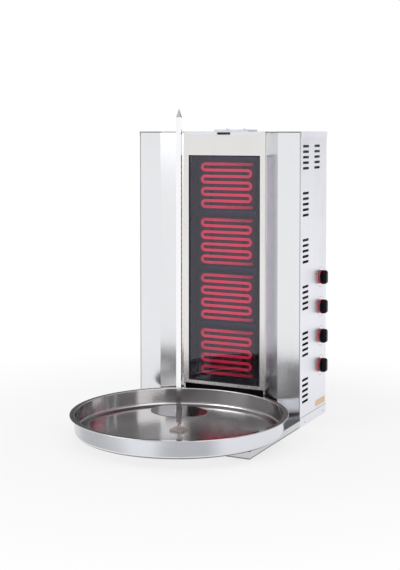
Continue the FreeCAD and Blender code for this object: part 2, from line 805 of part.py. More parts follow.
def top_cover():
    """The lid: a plate that follows the recess, turned down at its sides, back and front."""
    lid = body("top_cover")
    side_out = f"({panel_out} + 2 * dims.lap_gap + dims.panel_sheet)"
    side_in = f"({panel_out} + 2 * dims.lap_gap)"
    lid_back = f"({back_out} + dims.lap_gap + dims.panel_sheet)"
    recess_edge = f"({column_in} - {lip_front} * {reflector_slope})"
    plate = sketch(lid, "XY_Plane", cover_under)
    half = [(side_out, "0"), (column_in, "0"), (recess_edge, lip_front)]
    polygon(plate, half + [(f"-{x}", y) for x, y in reversed(half)]
            + [(f"-{side_out}", lid_back), (side_out, lid_back)])
    pad(lid, plate, "dims.panel_sheet")
    flanges = sketch(lid, "XY_Plane", f"({cover_top} - dims.cover_flange)")
    rectangle(flanges, (side_in, side_out), ("0", lid_back))
    rectangle(flanges, (f"-{side_out}", f"-{side_in}"), ("0", lid_back))
    rear = sketch(lid, "XY_Plane", f"({cover_top} - dims.cover_flange)")
    rectangle(rear, (f"-{side_out}", side_out), (f"({lid_back} - dims.panel_sheet)", lid_back))
    pad(lid, flanges, "dims.cover_flange")
    pad(lid, rear, "dims.cover_flange")
    lip = sketch(lid, "XZ_Plane", f"-{lip_front}")
    lip_low = f"({cover_top} - dims.lip_height)"
    right = [(notch_half, lip_low), ("dims.lip_width / 2", lip_low),
             ("(dims.lip_width / 2 + dims.lip_shoulder)", cover_top), (notch_half, cover_top)]
    polygon(lip, right)
    polygon(lip, [(f"-{x}", z) for x, z in reversed(right)])
    pad(lid, lip, "dims.panel_sheet", backwards=True)
    holes = sketch(lid, "XY_Plane", cover_top)
    for side in (-1, 1):
        circle(holes, f"{side} * dims.cap_screw_spread / 2", "dims.cap_place",
               "dims.screw_radius + dims.hole_gap")
    pocket(lid, holes, "2 * dims.panel_sheet")
    keep(lid, "top_cover")


def top_plate():
    """The small raised cap on the lid, and its two screws."""
    cap = body("top_plate")
    base = f"({cover_top} + dims.lap_gap)"
    top = f"({cover_top} + dims.cap_rise)"
    sheet = "dims.panel_sheet"
    across = "(dims.cap_width / 2)"
    front, back = "(dims.cap_place - dims.cap_depth / 2)", "(dims.cap_place + dims.cap_depth / 2)"
    outline = sketch(cap, "XY_Plane", base)
    rectangle(outline, (f"-{across}", across), (front, back))
    pad(cap, outline, f"{top} - {base}")
    for side in (-1, 1):
        for y in (front, back):
            dress(cap, "Fillet", "dims.cap_corner", upright_at(f"{side} * {across}", y))
    hollow = sketch(cap, "XY_Plane", f"({top} - {sheet})")
    rectangle(hollow, (f"-{across} + {sheet} * 2", f"{across} - {sheet} * 2"),
              (f"{front} + {sheet} * 2", f"{back} - {sheet} * 2"))
    pocket(cap, hollow, f"{top} - {base}")
    holes = sketch(cap, "XY_Plane", top)
    for side in (-1, 1):
        circle(holes, f"{side} * dims.cap_screw_spread / 2", "dims.cap_place",
               "dims.screw_radius + dims.hole_gap")
    pocket(cap, holes, f"2 * {sheet}")
    keep(cap, "top_plate")
    screws = []
    for side in (-1, 1):
        x = f"({side} * dims.cap_screw_spread / 2)"
        head_low = f"({top} + dims.lap_gap)"
        head = rod("cap_screw_head", "z", (x, "dims.cap_place", head_low), "dims.screw_head_radius",
                   "dims.cap_screw_head")
        shank = rod("cap_screw_shank", "z", (x, "dims.cap_place", f"({head_low} - dims.cap_screw_length)"),
                    "dims.screw_radius", "dims.cap_screw_length + dims.cap_screw_head / 2")
        screws.append(join("cap_screw", [head, shank]))
    keep(group("cap_screws", screws), "top_plate_screws")


def spit_arm_socket():
    """A flat tube under the lid, open to the front, that takes a holding arm for the spit."""
    back = f"({lip_front} + dims.arm_depth)"
    front = f"({lip_front} + dims.fit_gap)"
    wall = "dims.arm_wall"
    outer = block("arm_outer", (f"-{arm_half}", arm_half), (front, back), (arm_bottom, arm_top))
    inner = block("arm_inner", (f"-{arm_half} + {wall}", f"({arm_half} - {wall})"),
                  (f"({front} - 1)", f"({back} + 1)"), (f"({arm_bottom} + {wall})", f"({arm_top} - {wall})"))
    keep(remove("arm_tube", outer, [inner]), "spit_arm_socket")


def back_panel():
    """The rear plate with two vent groups, the inlet's hole and its screws."""
    plate = body("back_panel")
    across = f"({column_out} - dims.fit_gap)"
    drawn = sketch(plate, "XZ_Plane", f"-{back_face}")
    rectangle(drawn, (f"-{across}", across), (wall_bottom, wall_top))
    circle(drawn, "dims.gland_place", f"({ground} + dims.gland_rise)",
           "dims.gland_thread_radius + dims.hole_gap")
    for x, z in back_screw_places([-1, 1]):
        circle(drawn, x, z, "dims.screw_radius + dims.hole_gap")
    pad(plate, drawn, "dims.panel_sheet", backwards=True)
    vents = sketch(plate, "XZ_Plane", f"-{back_face}")
    for side in (-1, 1):
        for k in range(int(number("dims.vent_slots"))):
            slot(vents, f"{side} * dims.vent_length", f"({ground} + dims.vent_top - {k} * dims.vent_pitch)",
                 "dims.vent_length", "dims.vent_width")
    pocket(plate, vents, "2 * dims.panel_sheet")
    keep(plate, "back_panel")
    screws = []
    for x, z in back_screw_places([-1, 1]):
        seat = f"({back_out} + dims.lap_gap)"
        head = rod("back_screw_head", "y", (x, seat, z), "dims.screw_head_radius", "dims.cap_screw_head")
        shank = rod("back_screw_shank", "y", (x, f"({back_face} - dims.gland_inside)", z),
                    "dims.screw_radius", f"{seat} - {back_face} + dims.gland_inside + 1")
        screws.append(join("back_screw", [head, shank]))
    keep(group("back_screws", screws), "back_panel_screws")


def blank_label():
    """A thin blank plate low on the right side."""
    low = f"({ground} + dims.label_bottom)"
    face = f"({panel_out} + dims.lap_gap)"
    back = "(dims.housing_depth - dims.label_inset)"
    keep(block("label", (face, f"({face} + dims.label_thick)"), (f"({back} - dims.label_length)", back),
               (low, f"({low} + dims.label_height)")), "blank_label")


# Sheet work inside


def inner_shelf():
    """The apron behind the pan and the shelf on it that carries the glass and the rails."""
    side = f"({column_out} - dims.apron_margin)"
    apron_back = f"({apron_front} + dims.panel_sheet)"
    apron = block("shelf_apron", (f"-{side}", side), (apron_front, apron_back),
                  (wall_bottom, shelf_top))
    shelf = block("shelf_plate", (f"-{inner_half}", inner_half),
                  (shelf_front, f"({shelf_front} + dims.shelf_depth)"), (shelf_bottom, shelf_top))
    keep(join("shelf", [apron, shelf]), "inner_shelf")


def heater_rails():
    """Two upright angles that the heater trays are fixed to."""
    rails = []
    levels = (f"({shelf_top} + dims.lap_gap)", f"({wall_top} - dims.lap_gap)")
    inside = "(dims.tray_width / 2 + 1)"
    outside = f"({inside} + dims.rail_flange)"
    for side in (-1, 1):
        face_span = (inside, outside) if side > 0 else (f"-{outside}", f"-{inside}")
        leg_in = f"({outside} - dims.rail_sheet)"
        leg_span = (leg_in, outside) if side > 0 else (f"-{outside}", f"-{leg_in}")
        face = block("rail_face", face_span, (rail_front, f"({rail_front} + dims.rail_sheet)"), levels)
        leg = block("rail_leg", leg_span, (rail_front, rail_back), levels)
        rails.append(join("rail", [face, leg]))
    keep(group("rails", rails), "heater_rails")


def tail_places():
    """Where the elements' eight tails come out backwards."""
    return [(tail_side, f"({zone_level(k)} + {sign} * {zone_half})") for k in range(4) for sign in (1, -1)]


def heat_shield():
    """The sheet behind the trays, with a hole round each tail and a notch round the arm's tube."""
    half = "(dims.shield_width / 2)"
    plate = block("shield_plate", (f"-{half}", half),
                  (shield_front, f"({shield_front} + dims.panel_sheet)"),
                  (f"({shelf_top} + dims.fit_gap)", f"({wall_top} - dims.fit_gap)"))
    cuts = [rod("shield_hole", "y", (x, f"({shield_front} - 1)", z), "dims.shield_hole_radius",
                "dims.panel_sheet + 2") for x, z in tail_places()]
    cuts.append(block("shield_notch", (f"-{notch_half}", notch_half),
                      (f"({shield_front} - 1)", f"({shield_front} + dims.panel_sheet + 1)"),
                      (f"({arm_bottom} - dims.fit_gap)", f"({wall_top} + 1)")))
    keep(remove("shield", plate, cuts), "heat_shield")


def heater_tray(k):
    """One open tray with side flanges and a hole for each tail of its element."""
    level = zone_level(k)
    half, wall = "(dims.tray_width / 2)", "dims.tray_sheet"
    low, high = f"({level} - dims.tray_height / 2)", f"({level} + dims.tray_height / 2)"
    box = block("tray_box", (f"-{half}", half), (tray_front, tray_back), (low, high))
    flange_half = f"({half} + dims.tray_flange)"
    flange = block("tray_flange", (f"-{flange_half}", flange_half), (tray_front, f"({tray_front} + {wall})"),
                   (low, high))
    hollow = block("tray_hollow", (f"-{half} + {wall}", f"({half} - {wall})"),
                   (f"({tray_front} - 1)", f"({tray_back} - {wall})"), (f"({low} + {wall})", f"({high} - {wall})"))
    holes = [rod("tray_tail_hole", "y", (tail_side, f"({tray_back} - 2)", f"({level} + {sign} * {zone_half})"),
                 "dims.element_radius + dims.fit_gap", "4") for sign in (1, -1)]
    keep(remove("heater_tray", join("tray_flanged", [box, flange]), [hollow] + holes), f"heater_tray_{k + 1}")


def heater_insulation():
    """A board of insulation in the back of each tray."""
    boards = []
    half = "(dims.tray_width / 2 - dims.tray_sheet - dims.fit_gap)"
    tall = "(dims.tray_height / 2 - dims.tray_sheet - dims.fit_gap)"
    for k in range(4):
        level = zone_level(k)
        board = block("wool_board", (f"-{half}", half), (wool_front, wool_back),
                      (f"({level} - {tall})", f"({level} + {tall})"))
        holes = [rod("wool_hole", "y", (tail_side, f"({wool_front} - 1)", f"({level} + {sign} * {zone_half})"),
                     "dims.element_radius + dims.fit_gap", "dims.wool_thick + 2") for sign in (1, -1)]
        boards.append(remove("wool", board, holes))
    keep(group("wool_boards", boards), "heater_insulation")


def element_supports():
    """Upright strips on the insulation that the elements lie against."""
    strips = []
    front = f"({element_plane} + dims.element_radius + dims.lap_gap)"
    for k in range(4):
        for side in (-1, 1):
            middle = f"({side} * dims.support_spread / 2)"
            level = zone_level(k)
            strips.append(block("support_strip", (f"({middle} - dims.support_width / 2)",
                                                  f"({middle} + dims.support_width / 2)"),
                                (front, f"({wool_front} - dims.lap_gap)"),
                                (f"({level} - {zone_half} - dims.element_radius)",
                                 f"({level} + {zone_half} + dims.element_radius)")))
    keep(group("support_strips", strips), "element_supports")


def serpentine(k):
    """The path of one element: tail, level runs joined by half turns, and tail."""
    reach = number("dims.element_run / 2")
    pitch = number("dims.run_pitch")
    turn = pitch / 2
    plane = number(element_plane)
    tail = number("dims.element_tail")
    high = number(f"{zone_level(k)} + {zone_half}")
    runs = int(number("dims.run_count"))
    slant = math.sqrt(0.5)

    def place(x, back, level):
        """A point of the path."""
        return Vector(x, plane + back, level)

    def corner(level, leaving):
        """The quarter turn between the last run and its tail, in the order travelled."""
        points = [place(reach + turn, turn, level),
                  place(reach + turn * slant, turn - turn * slant, level), place(reach, 0, level)]
        if leaving:
            points.reverse()
        return Part.Arc(*points).toShape()

    end = Vector(reach + turn, tail, high)
    edges = [Part.LineSegment(end, place(reach + turn, turn, high)).toShape(), corner(high, False)]
    for run in range(runs):
        level = high - run * pitch
        side = 1 if run % 2 == 0 else -1
        edges.append(Part.LineSegment(place(side * reach, 0, level), place(-side * reach, 0, level)).toShape())
        if run < runs - 1:
            edges.append(Part.Arc(place(-side * reach, 0, level), place(-side * (reach + turn), 0, level - turn),
                                  place(-side * reach, 0, level - pitch)).toShape())
    low = high - (runs - 1) * pitch
    end = Vector(reach + turn, tail, low)
    edges += [corner(low, True), Part.LineSegment(place(reach + turn, turn, low), end).toShape()]
    return edges


def heating_element(k):
    """One unbroken tube of level runs, its two tails turned back through the tray."""
    radius = number("dims.element_radius")
    edges = serpentine(k)
    element = doc.addObject("Part::Feature", f"heating_element_{k + 1}")
    element.Shape = tube(element.Name, edges, radius)
    runs = [edge for edge in edges if edge.Length > number("dims.element_run") - 1]
    gap = min(a.distToShape(b)[0] for a, b in zip(runs, runs[1:])) - 2 * radius
    print(f"{element.Name}: least gap to itself {gap:.2f} mm")
    keep(element, f"heating_element_{k + 1}")


def element_terminals():
    """A ceramic bead and a threaded stud on the end of each tail."""
    ends = []
    start = "(dims.element_tail + dims.lap_gap)"
    for x, z in tail_places():
        bead = rod("terminal_bead", "y", (x, start, z), "dims.bead_radius", "dims.bead_length")
        stud = rod("terminal_stud", "y", (x, f"({start} + dims.bead_length / 2)", z), "dims.stud_radius",
                   "dims.bead_length / 2 + dims.stud_length")
        ends.append(join("terminal", [bead, stud]))
    keep(group("terminals", ends), "element_terminals")


# Regulators, knobs and the supply


def energy_regulator(k):
    """A square regulator case against the side panel, with its bush through the panel."""
    level = knob_level(k)
    half = "(dims.regulator_side / 2)"
    back = f"({column_out} - dims.regulator_depth)"
    case = block("regulator_case", (back, column_out),
                 (f"({knob_depth} - {half})", f"({knob_depth} + {half})"),
                 (f"({level} - {half})", f"({level} + {half})"))
    bush = rod("regulator_bush", "x", (f"({column_out} - 1)", knob_depth, level), "dims.bush_radius",
               f"{bush_end} - {column_out} + 1")
    blades = []
    for step in (-1, 0, 1):
        middle = f"({knob_depth} + {step} * dims.blade_pitch)"
        blades.append(block("regulator_blade", (f"({back} - dims.blade_length)", f"({back} + 1)"),
                            (f"({middle} - dims.blade_thick / 2)", f"({middle} + dims.blade_thick / 2)"),
                            (f"({level} - dims.blade_width / 2)", f"({level} + dims.blade_width / 2)")))
    bore_start = f"({column_out} - dims.shaft_inside - dims.fit_gap)"
    bore = rod("regulator_bore", "x", (bore_start, knob_depth, level), "dims.shaft_radius + dims.running_gap",
               f"{bush_end} + 1 - {bore_start}")
    whole = join("regulator_whole", [case, bush] + blades)
    keep(remove("regulator", whole, [bore]), f"energy_regulator_{k + 1}")


def regulator_nuts():
    """The hexagon nut outside the panel on each bush."""
    nuts = []
    start = f"({panel_out} + dims.lap_gap)"
    for k in range(4):
        place = (start, knob_depth, knob_level(k))
        blank = hexagon("nut_blank", "x", place, "dims.nut_radius", "dims.nut_thick")
        hole = rod("nut_hole", "x", (f"({start} - 1)", knob_depth, knob_level(k)),
                   "dims.bush_radius + dims.press_gap", "dims.nut_thick + 2")
        nuts.append(remove("nut", blank, [hole]))
    keep(group("nuts", nuts), "regulator_nuts")


def knob(k):
    """A paddle grip: a tall bar with big outer corners on a round base, bored for its shaft."""
    grip = body(f"knob_{k + 1}")
    level = knob_level(k)
    base = sketch(grip, "YZ_Plane", knob_start)
    circle(base, knob_depth, level, "dims.knob_base_radius")
    pad(grip, base, "dims.knob_base_thick")
    base_end = f"({knob_start} + dims.knob_base_thick)"
    face = sketch(grip, "YZ_Plane", knob_start)
    tall, thick = "(dims.knob_height / 2)", "(dims.knob_thick / 2)"
    rectangle(face, (f"{knob_depth} - {thick}", f"{knob_depth} + {thick}"),
              (f"{level} - {tall}", f"{level} + {tall}"))
    pad(grip, face, "dims.knob_length")
    outer = f"({knob_start} + dims.knob_length)"
    low, high = f"({level} - {tall})", f"({level} + {tall})"

    def outer_corner(edge):
        """Whether the edge is an outer end of the grip, across its thickness."""
        ends = edge.Vertexes
        return all(near(v.X, outer) and (near(v.Z, low) or near(v.Z, high)) for v in ends) \
            and abs(ends[0].Z - ends[1].Z) < 1

    def long_rim(edge):
        """Whether the edge runs round a flank of the grip, outside the round base."""
        on_flank = all(near(abs(v.Y - number(knob_depth)), thick) for v in edge.Vertexes)
        return on_flank and max(v.X for v in edge.Vertexes) > number(base_end) + 0.001

    dress(grip, "Fillet", "dims.knob_corner", outer_corner)
    dress(grip, "Fillet", "dims.knob_edge", long_rim)
    hole = sketch(grip, "YZ_Plane", knob_start)
    circle(hole, knob_depth, level, "dims.shaft_radius + dims.press_gap")
    pocket(grip, hole, "dims.knob_socket", backwards=True)
    keep(grip, f"knob_{k + 1}")


def knob_skirt(k):
    """The round skirt behind the grip, a ring that clears the bush's nut."""
    level = knob_level(k)
    straight = rod("skirt_blank", "x", (skirt_start, knob_depth, level), "dims.skirt_radius",
                   "dims.skirt_thick - dims.skirt_bevel")
    slope = cone("skirt_slope", "x", (f"({skirt_end} - dims.skirt_bevel)", knob_depth, level),
                 ["dims.skirt_radius", "(dims.skirt_radius - dims.skirt_bevel)"], "dims.skirt_bevel")
    hole = rod("skirt_hole", "x", (f"({skirt_start} - 1)", knob_depth, level),
               "dims.nut_radius + dims.nut_clear", "dims.skirt_thick + 2")
    keep(remove("skirt", join("skirt_whole", [straight, slope]), [hole]), f"knob_skirt_{k + 1}")


def regulator_shaft(k):
    """The round shaft that runs from inside the regulator into the grip."""
    start = f"({column_out} - dims.shaft_inside)"
    length = f"{knob_start} + dims.knob_socket - dims.fit_gap - {start}"
    keep(rod("regulator_shaft", "x", (start, knob_depth, knob_level(k)), "dims.shaft_radius", length),
         f"regulator_shaft_{k + 1}")


def supply_inlet():
    """The cable gland in the back panel, its locknut and the terminal block on the deck."""
    x, z = "dims.gland_place", f"({ground} + dims.gland_rise)"
    seat = f"({back_out} + dims.lap_gap)"
    inside = f"({back_face} - dims.gland_inside)"
    hexed = hexagon("gland_hex", "y", (x, seat, z), "dims.gland_hex_radius", "dims.gland_hex_length")
    nose = cone("gland_nose", "y", (x, f"({seat} + dims.gland_hex_length)", z),
                ["dims.gland_nose_radius + 1", "dims.gland_nose_radius - 2"],
                "dims.gland_reach - dims.gland_hex_length")
    thread = rod("gland_thread", "y", (x, inside, z), "dims.gland_thread_radius", f"{seat} - {inside} + 1")
    bore = rod("gland_bore", "y", (x, f"({inside} - 1)", z), "dims.gland_bore_radius",
               f"{seat} - {inside} + dims.gland_reach + 2")
    keep(remove("gland", join("gland_whole", [hexed, nose, thread]), [bore]), "cable_gland")
    nut_start = f"({back_face} - dims.lap_gap - dims.gland_nut_thick)"
    nut_blank = hexagon("gland_nut_blank", "y", (x, nut_start, z), "dims.gland_hex_radius",
                        "dims.gland_nut_thick")
    nut_hole = rod("gland_nut_hole", "y", (x, f"({nut_start} - 1)", z),
                   "dims.gland_thread_radius + dims.press_gap", "dims.gland_nut_thick + 2")
    keep(remove("gland_nut", nut_blank, [nut_hole]), "gland_locknut")
    side = "dims.block_side"
    back = "(dims.housing_depth - dims.block_inset)"
    bar = block("block_bar", (side, f"({side} + dims.block_length)"), (f"({back} - dims.block_depth)", back),
                (wall_bottom, f"({wall_bottom} + dims.block_height)"))
    holes = [rod("block_hole", "z", (f"({side} + dims.block_length * {part} / 6)",
                                     f"({back} - dims.block_depth / 2)",
                                     f"({wall_bottom} + dims.block_height / 2)"),
                 "dims.block_hole_radius", "dims.block_height") for part in (1, 3, 5)]
    keep(remove("block", bar, holes), "terminal_block")


def wiring_loom():
    """One lead from each regulator to its element, and the supply lead to the terminal block."""
    radius = number("dims.wire_radius")
    gap = number("dims.lap_gap")
    blade = number(f"{column_out} - dims.regulator_depth - dims.blade_length") - gap
    depth = number(knob_depth)
    stud = number("dims.element_tail + dims.lap_gap + dims.bead_length + dims.stud_length") + gap
    tail = number(tail_side)
    straight, sweep, step, stand, loop = (
        number(f"dims.lead_{name}") for name in ("straight", "sweep", "step", "stand", "loop"))
    leads = []
    for k in range(4):
        low = number(knob_level(k))
        high = number(f"{zone_level(k)} + {zone_half}")
        points = [Vector(blade, depth, low), Vector(blade - straight, depth, low),
                  Vector(blade - sweep, depth - step, (low + high) / 2), Vector(tail, stud + stand, high),
                  Vector(tail, stud, high)]
        edges, radii = rounded_run(points)
        print(f"lead {k + 1}: bend radii {[round(radius_here, 1) for radius_here in radii]}")
        leads.append(tube(f"lead {k + 1}", edges, radius))
    gland_x, gland_z = number("dims.gland_place"), number(f"{ground} + dims.gland_rise")
    inside = number(f"{back_face} - dims.gland_inside")
    top = number(f"{wall_bottom} + dims.block_height")
    clamp = number(f"{wall_bottom} + dims.block_height / 2") + gap
    block_x = number("dims.block_side + dims.block_length * 5 / 6")
    block_y = number("dims.housing_depth - dims.block_inset - dims.block_depth / 2")
    points = [Vector(gland_x, inside - number("dims.lead_clear"), gland_z),
              Vector(gland_x, block_y + loop, gland_z),
              Vector(block_x, block_y, top + loop), Vector(block_x, block_y, clamp)]
    edges, radii = rounded_run(points)
    print(f"supply lead: bend radii {[round(radius_here, 1) for radius_here in radii]}")
    leads.append(tube("supply lead", edges, radius))
    loom = doc.addObject("Part::Feature", "wiring_loom")
    loom.Shape = Part.makeCompound(leads)
    keep(loom, "wiring_loom")


# Pan, spit and disc, all about the spit's axis


def drip_pan():
    """The round pan: a flat floor, an upright wall and a rim rolled over at its edge."""
    pan = body("drip_pan")
    sheet = "dims.pan_sheet"
    wall = "(dims.pan_rim_radius - dims.pan_flange)"
    bead = "(dims.pan_rim_radius - dims.pan_bead_radius)"
    profile = sketch(pan, "XZ_Plane")
    polygon(profile, [("0", pan_bottom), (wall, pan_bottom), (wall, f"({rim_top} - {sheet})"),
                      (bead, f"({rim_top} - {sheet})"), (bead, rim_top), (f"({wall} - {sheet})", rim_top),
                      (f"({wall} - {sheet})", pan_floor), ("0", pan_floor)])
    spun = pan.newObject("PartDesign::Revolution", "pan_sheet_spun")
    spun.Profile = profile
    spun.ReferenceAxis = (profile, ["V_Axis"])
    hem = sketch(pan, "XZ_Plane")
    circle(hem, bead, f"({rim_top} - dims.pan_bead_radius)", "dims.pan_bead_radius")
    rolled = pan.newObject("PartDesign::Revolution", "pan_bead_spun")
    rolled.Profile = hem
    rolled.ReferenceAxis = (hem, ["V_Axis"])
    dress(pan, "Fillet", "dims.pan_corner", ring_at(wall, pan_bottom))
    dress(pan, "Fillet", f"dims.pan_corner - {sheet}", ring_at(f"({wall} - {sheet})", pan_floor))
    dress(pan, "Fillet", "dims.pan_roll", ring_at(f"({wall} - {sheet})", rim_top))
    dress(pan, "Fillet", f"dims.pan_roll - {sheet}", ring_at(wall, f"({rim_top} - {sheet})"))
    keep(pan, "drip_pan", back=spit_y)


def spit_socket():
    """The square foot plate in the pan that the spit's pivot stands in."""
    plate = body("spit_socket")
    low = f"({pan_floor} + dims.lap_gap)"
    half = "dims.socket_side / 2"
    drawn = sketch(plate, "XY_Plane", low)
    rectangle(drawn, (f"-{half}", half), (f"-{half}", half))
    circle(drawn, "0", "0", "dims.pivot_radius + dims.running_gap")
    pad(plate, drawn, "dims.socket_height")
    top = f"({low} + dims.socket_height)"

    def top_edge(edge):
        """Whether the edge is one of the plate's four upper edges."""
        return isinstance(edge.Curve, Part.Line) and all(near(v.Z, top) for v in edge.Vertexes)

    dress(plate, "Chamfer", "dims.socket_bevel", top_edge)
    keep(plate, "spit_socket", back=spit_y)


def spit():
    """The square bar with its point and pivot, and the pin that stops the disc."""
    half = "(dims.spit_side / 2)"
    start = f"({ground} + dims.spit_start)"
    shoulder = f"({ground} + dims.spit_shoulder)"
    bar = block("spit_square", (f"-{half}", half), (f"-{half}", half), (start, shoulder))
    point = doc.addObject("Part::Wedge", "spit_point")
    point.Placement = Placement(Vector(), Rotation(Vector(1, 0, 0), 90))
    rules = {"Xmin": f"-{half}", "Xmax": half, "Zmin": f"-{half}", "Zmax": half,
             "X2min": "-dims.spit_point / 2", "X2max": "dims.spit_point / 2",
             "Z2min": "-dims.spit_point / 2", "Z2max": "dims.spit_point / 2",
             "Ymin": "0", "Ymax": "dims.spit_tip"}
    for side, rule in rules.items():
        point.setExpression(side, rule)
    point.setExpression("Placement.Base.z", shoulder)
    taper = cone("spit_cone", "z", ("0", "0", f"({start} - dims.spit_cone)"), ["dims.pivot_radius", half],
                 "dims.spit_cone")
    pivot_low = f"({pan_floor} + 2 * dims.fit_gap)"
    pivot = rod("spit_pivot", "z", ("0", "0", pivot_low), "dims.pivot_radius",
                f"{start} - dims.spit_cone / 2 - {pivot_low}")
    cross_hole = rod("spit_cross_hole", "x", (f"-{half} - 1", "0", pin_middle),
                     "dims.stop_radius + dims.press_gap", "dims.spit_side + 2")
    whole = remove("spit", join("spit_whole", [bar, point, taper, pivot]), [cross_hole])
    pin = rod("stop_pin", "x", ("-dims.stop_length / 2", "0", "0"), "dims.stop_radius", "dims.stop_length")
    pin_group = group("stop_pin_group", [pin])
    pin_group.setExpression("Placement.Base.z", pin_middle)
    for item, name in ((whole, "spit_bar"), (pin_group, "disc_stop_pin")):
        item.setExpression("Placement.Rotation.Yaw", "dims.spit_turn * 1 deg")
        keep(item, name, back=spit_y)


def kebab_disc():
    """The loose disc that carries the meat, leaning a little on the stop pin."""
    half = "(dims.disc_hole / 2)"
    plate = rod("disc_plate", "z", ("0", "0", "-dims.disc_thick / 2"), "dims.disc_radius", "dims.disc_thick")
    hole = block("disc_square", (f"-{half}", half), (f"-{half}", half),
                 ("-dims.disc_thick", "dims.disc_thick"))
    turned = group("disc_square_turned", [hole])
    turned.setExpression("Placement.Rotation.Yaw", "dims.spit_turn * 1 deg")
    disc = remove("disc", plate, [turned])
    lean = math.radians(number("dims.disc_lean") + 90)
    tilt = Rotation(Vector(math.cos(lean), math.sin(lean), 0), number("dims.disc_tilt"))
    disc.Placement = Placement(Vector(), tilt)
    disc.setExpression("Placement.Base.z", disc_middle)
    keep(disc, "kebab_disc", back=spit_y)


base_tray()
rubber_feet()
foot_screws()
side_panel("side_panel_left", -1, drilled=False)
side_panel("side_panel_right", 1, drilled=True)
panel_rivets()
front_column("front_column_left", -1)
front_column("front_column_right", 1)
centre_frame()
glass()
top_cover()
top_plate()
spit_arm_socket()
back_panel()
blank_label()
inner_shelf()
heater_rails()
heat_shield()
for k in range(4):
    heater_tray(k)
    heating_element(k)
heater_insulation()
element_supports()
element_terminals()
for k in range(4):
    energy_regulator(k)
    knob(k)
    knob_skirt(k)
    regulator_shaft(k)
regulator_nuts()
supply_inlet()
wiring_loom()
drip_pan()
spit_socket()
spit()
kebab_disc()
doc.recompute()

# Check everything before writing anything

failed = [item.Name for item in doc.Objects if {"Invalid", "Error"} & set(item.State)]
if failed:
    raise RuntimeError("objects that failed: " + ", ".join(failed))
for item in nodes:
    if item.Shape.isNull() or not item.Shape.isValid() or not item.Shape.Solids:
        raise RuntimeError("bad shape: " + item.Label)

os.makedirs("parts", exist_ok=True)
for item in nodes:
    item.Shape.exportStep(os.path.join("parts", item.Label + ".step"))
whole = Part.makeCompound([item.Shape for item in nodes]).BoundBox
print(f"{len(nodes)} nodes, x {whole.XMin:.2f} to {whole.XMax:.2f}, y {whole.YMin:.2f} to {whole.YMax:.2f},"
      f" z {whole.ZMin:.2f} to {whole.ZMax:.2f}")
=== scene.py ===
"""Builds the visible pieces and the finishes of an upright electric kebab grill, over its CAD frame."""

import json
import math

import bmesh
import bpy
from bpy.props import FloatProperty, FloatVectorProperty, IntProperty, PointerProperty
from mathutils import Matrix, Vector


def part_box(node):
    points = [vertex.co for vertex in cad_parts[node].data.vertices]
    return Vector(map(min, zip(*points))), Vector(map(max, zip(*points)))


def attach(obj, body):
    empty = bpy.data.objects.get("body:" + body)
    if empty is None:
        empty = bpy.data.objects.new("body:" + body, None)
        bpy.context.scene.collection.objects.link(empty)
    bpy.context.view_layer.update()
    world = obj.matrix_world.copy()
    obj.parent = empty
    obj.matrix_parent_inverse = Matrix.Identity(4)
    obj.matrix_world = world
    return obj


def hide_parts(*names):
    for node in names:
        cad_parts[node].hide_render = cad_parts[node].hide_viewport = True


bl_info = {
    "name": "Kebab Grill",
    "version": (1, 0, 0),
    "blender": (4, 5, 0),
    "location": "3D View > Sidebar > Grill",
    "description": "Builds the pan, spit, knobs, elements and finishes of an upright kebab grill",
    "category": "Object",
}

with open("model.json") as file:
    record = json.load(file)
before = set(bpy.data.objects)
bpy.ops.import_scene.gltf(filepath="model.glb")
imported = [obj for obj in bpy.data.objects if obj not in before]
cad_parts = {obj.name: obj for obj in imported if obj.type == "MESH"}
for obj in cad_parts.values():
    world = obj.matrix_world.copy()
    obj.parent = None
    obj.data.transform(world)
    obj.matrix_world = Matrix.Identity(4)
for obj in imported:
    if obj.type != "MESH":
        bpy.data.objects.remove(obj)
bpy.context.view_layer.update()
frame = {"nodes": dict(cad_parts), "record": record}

MM = 0.001
PAN_LOW, PAN_HIGH = (Vector(corner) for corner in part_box("drip_pan"))
PAN_WALL = 293 * MM
SPIT_LOW, SPIT_HIGH = (Vector(corner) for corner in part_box("spit_bar"))
AXIS = Vector(((PAN_LOW.x + PAN_HIGH.x) / 2, (PAN_LOW.y + PAN_HIGH.y) / 2, 0))
BASE_LOW = Vector(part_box("base_tray")[0])
LID_LOW = Vector(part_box("top_cover")[0])
COLUMN_HIGH = Vector(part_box("front_column_right")[1])
TRAY_LOW, TRAY_HIGH = (Vector(corner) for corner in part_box("heater_tray_1"))
ELEMENT_LOW, ELEMENT_HIGH = (Vector(corner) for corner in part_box("heating_element_1"))
ZONE_HALF = (ELEMENT_HIGH.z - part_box("heating_element_2")[1][2]) / 2
LAST_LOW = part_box("heating_element_4")[0][2]
ZONE_EDGE = (ELEMENT_LOW.z + ELEMENT_HIGH.z) / 2 - ZONE_HALF
OWN_FINISHES = {"centre_frame": "frame_steel", "top_cover": "lid_steel"}
TURN_TO_X = Matrix.Rotation(math.radians(90), 4, "Y")
TURN_TO_Y = Matrix.Rotation(math.radians(-90), 4, "X")


# Settings


def length(name, description, default):
    """A length property in metres."""
    return FloatProperty(name=name, description=description, default=default, min=0, precision=5,
                         unit="LENGTH")


def angle(name, description, default):
    """An angle property, given in degrees."""
    return FloatProperty(name=name, description=description, default=math.radians(default), subtype="ANGLE")


def colour(name, description, default):
    """A colour property."""
    return FloatVectorProperty(name=name, description=description, default=default, min=0, max=1,
                               subtype="COLOR")


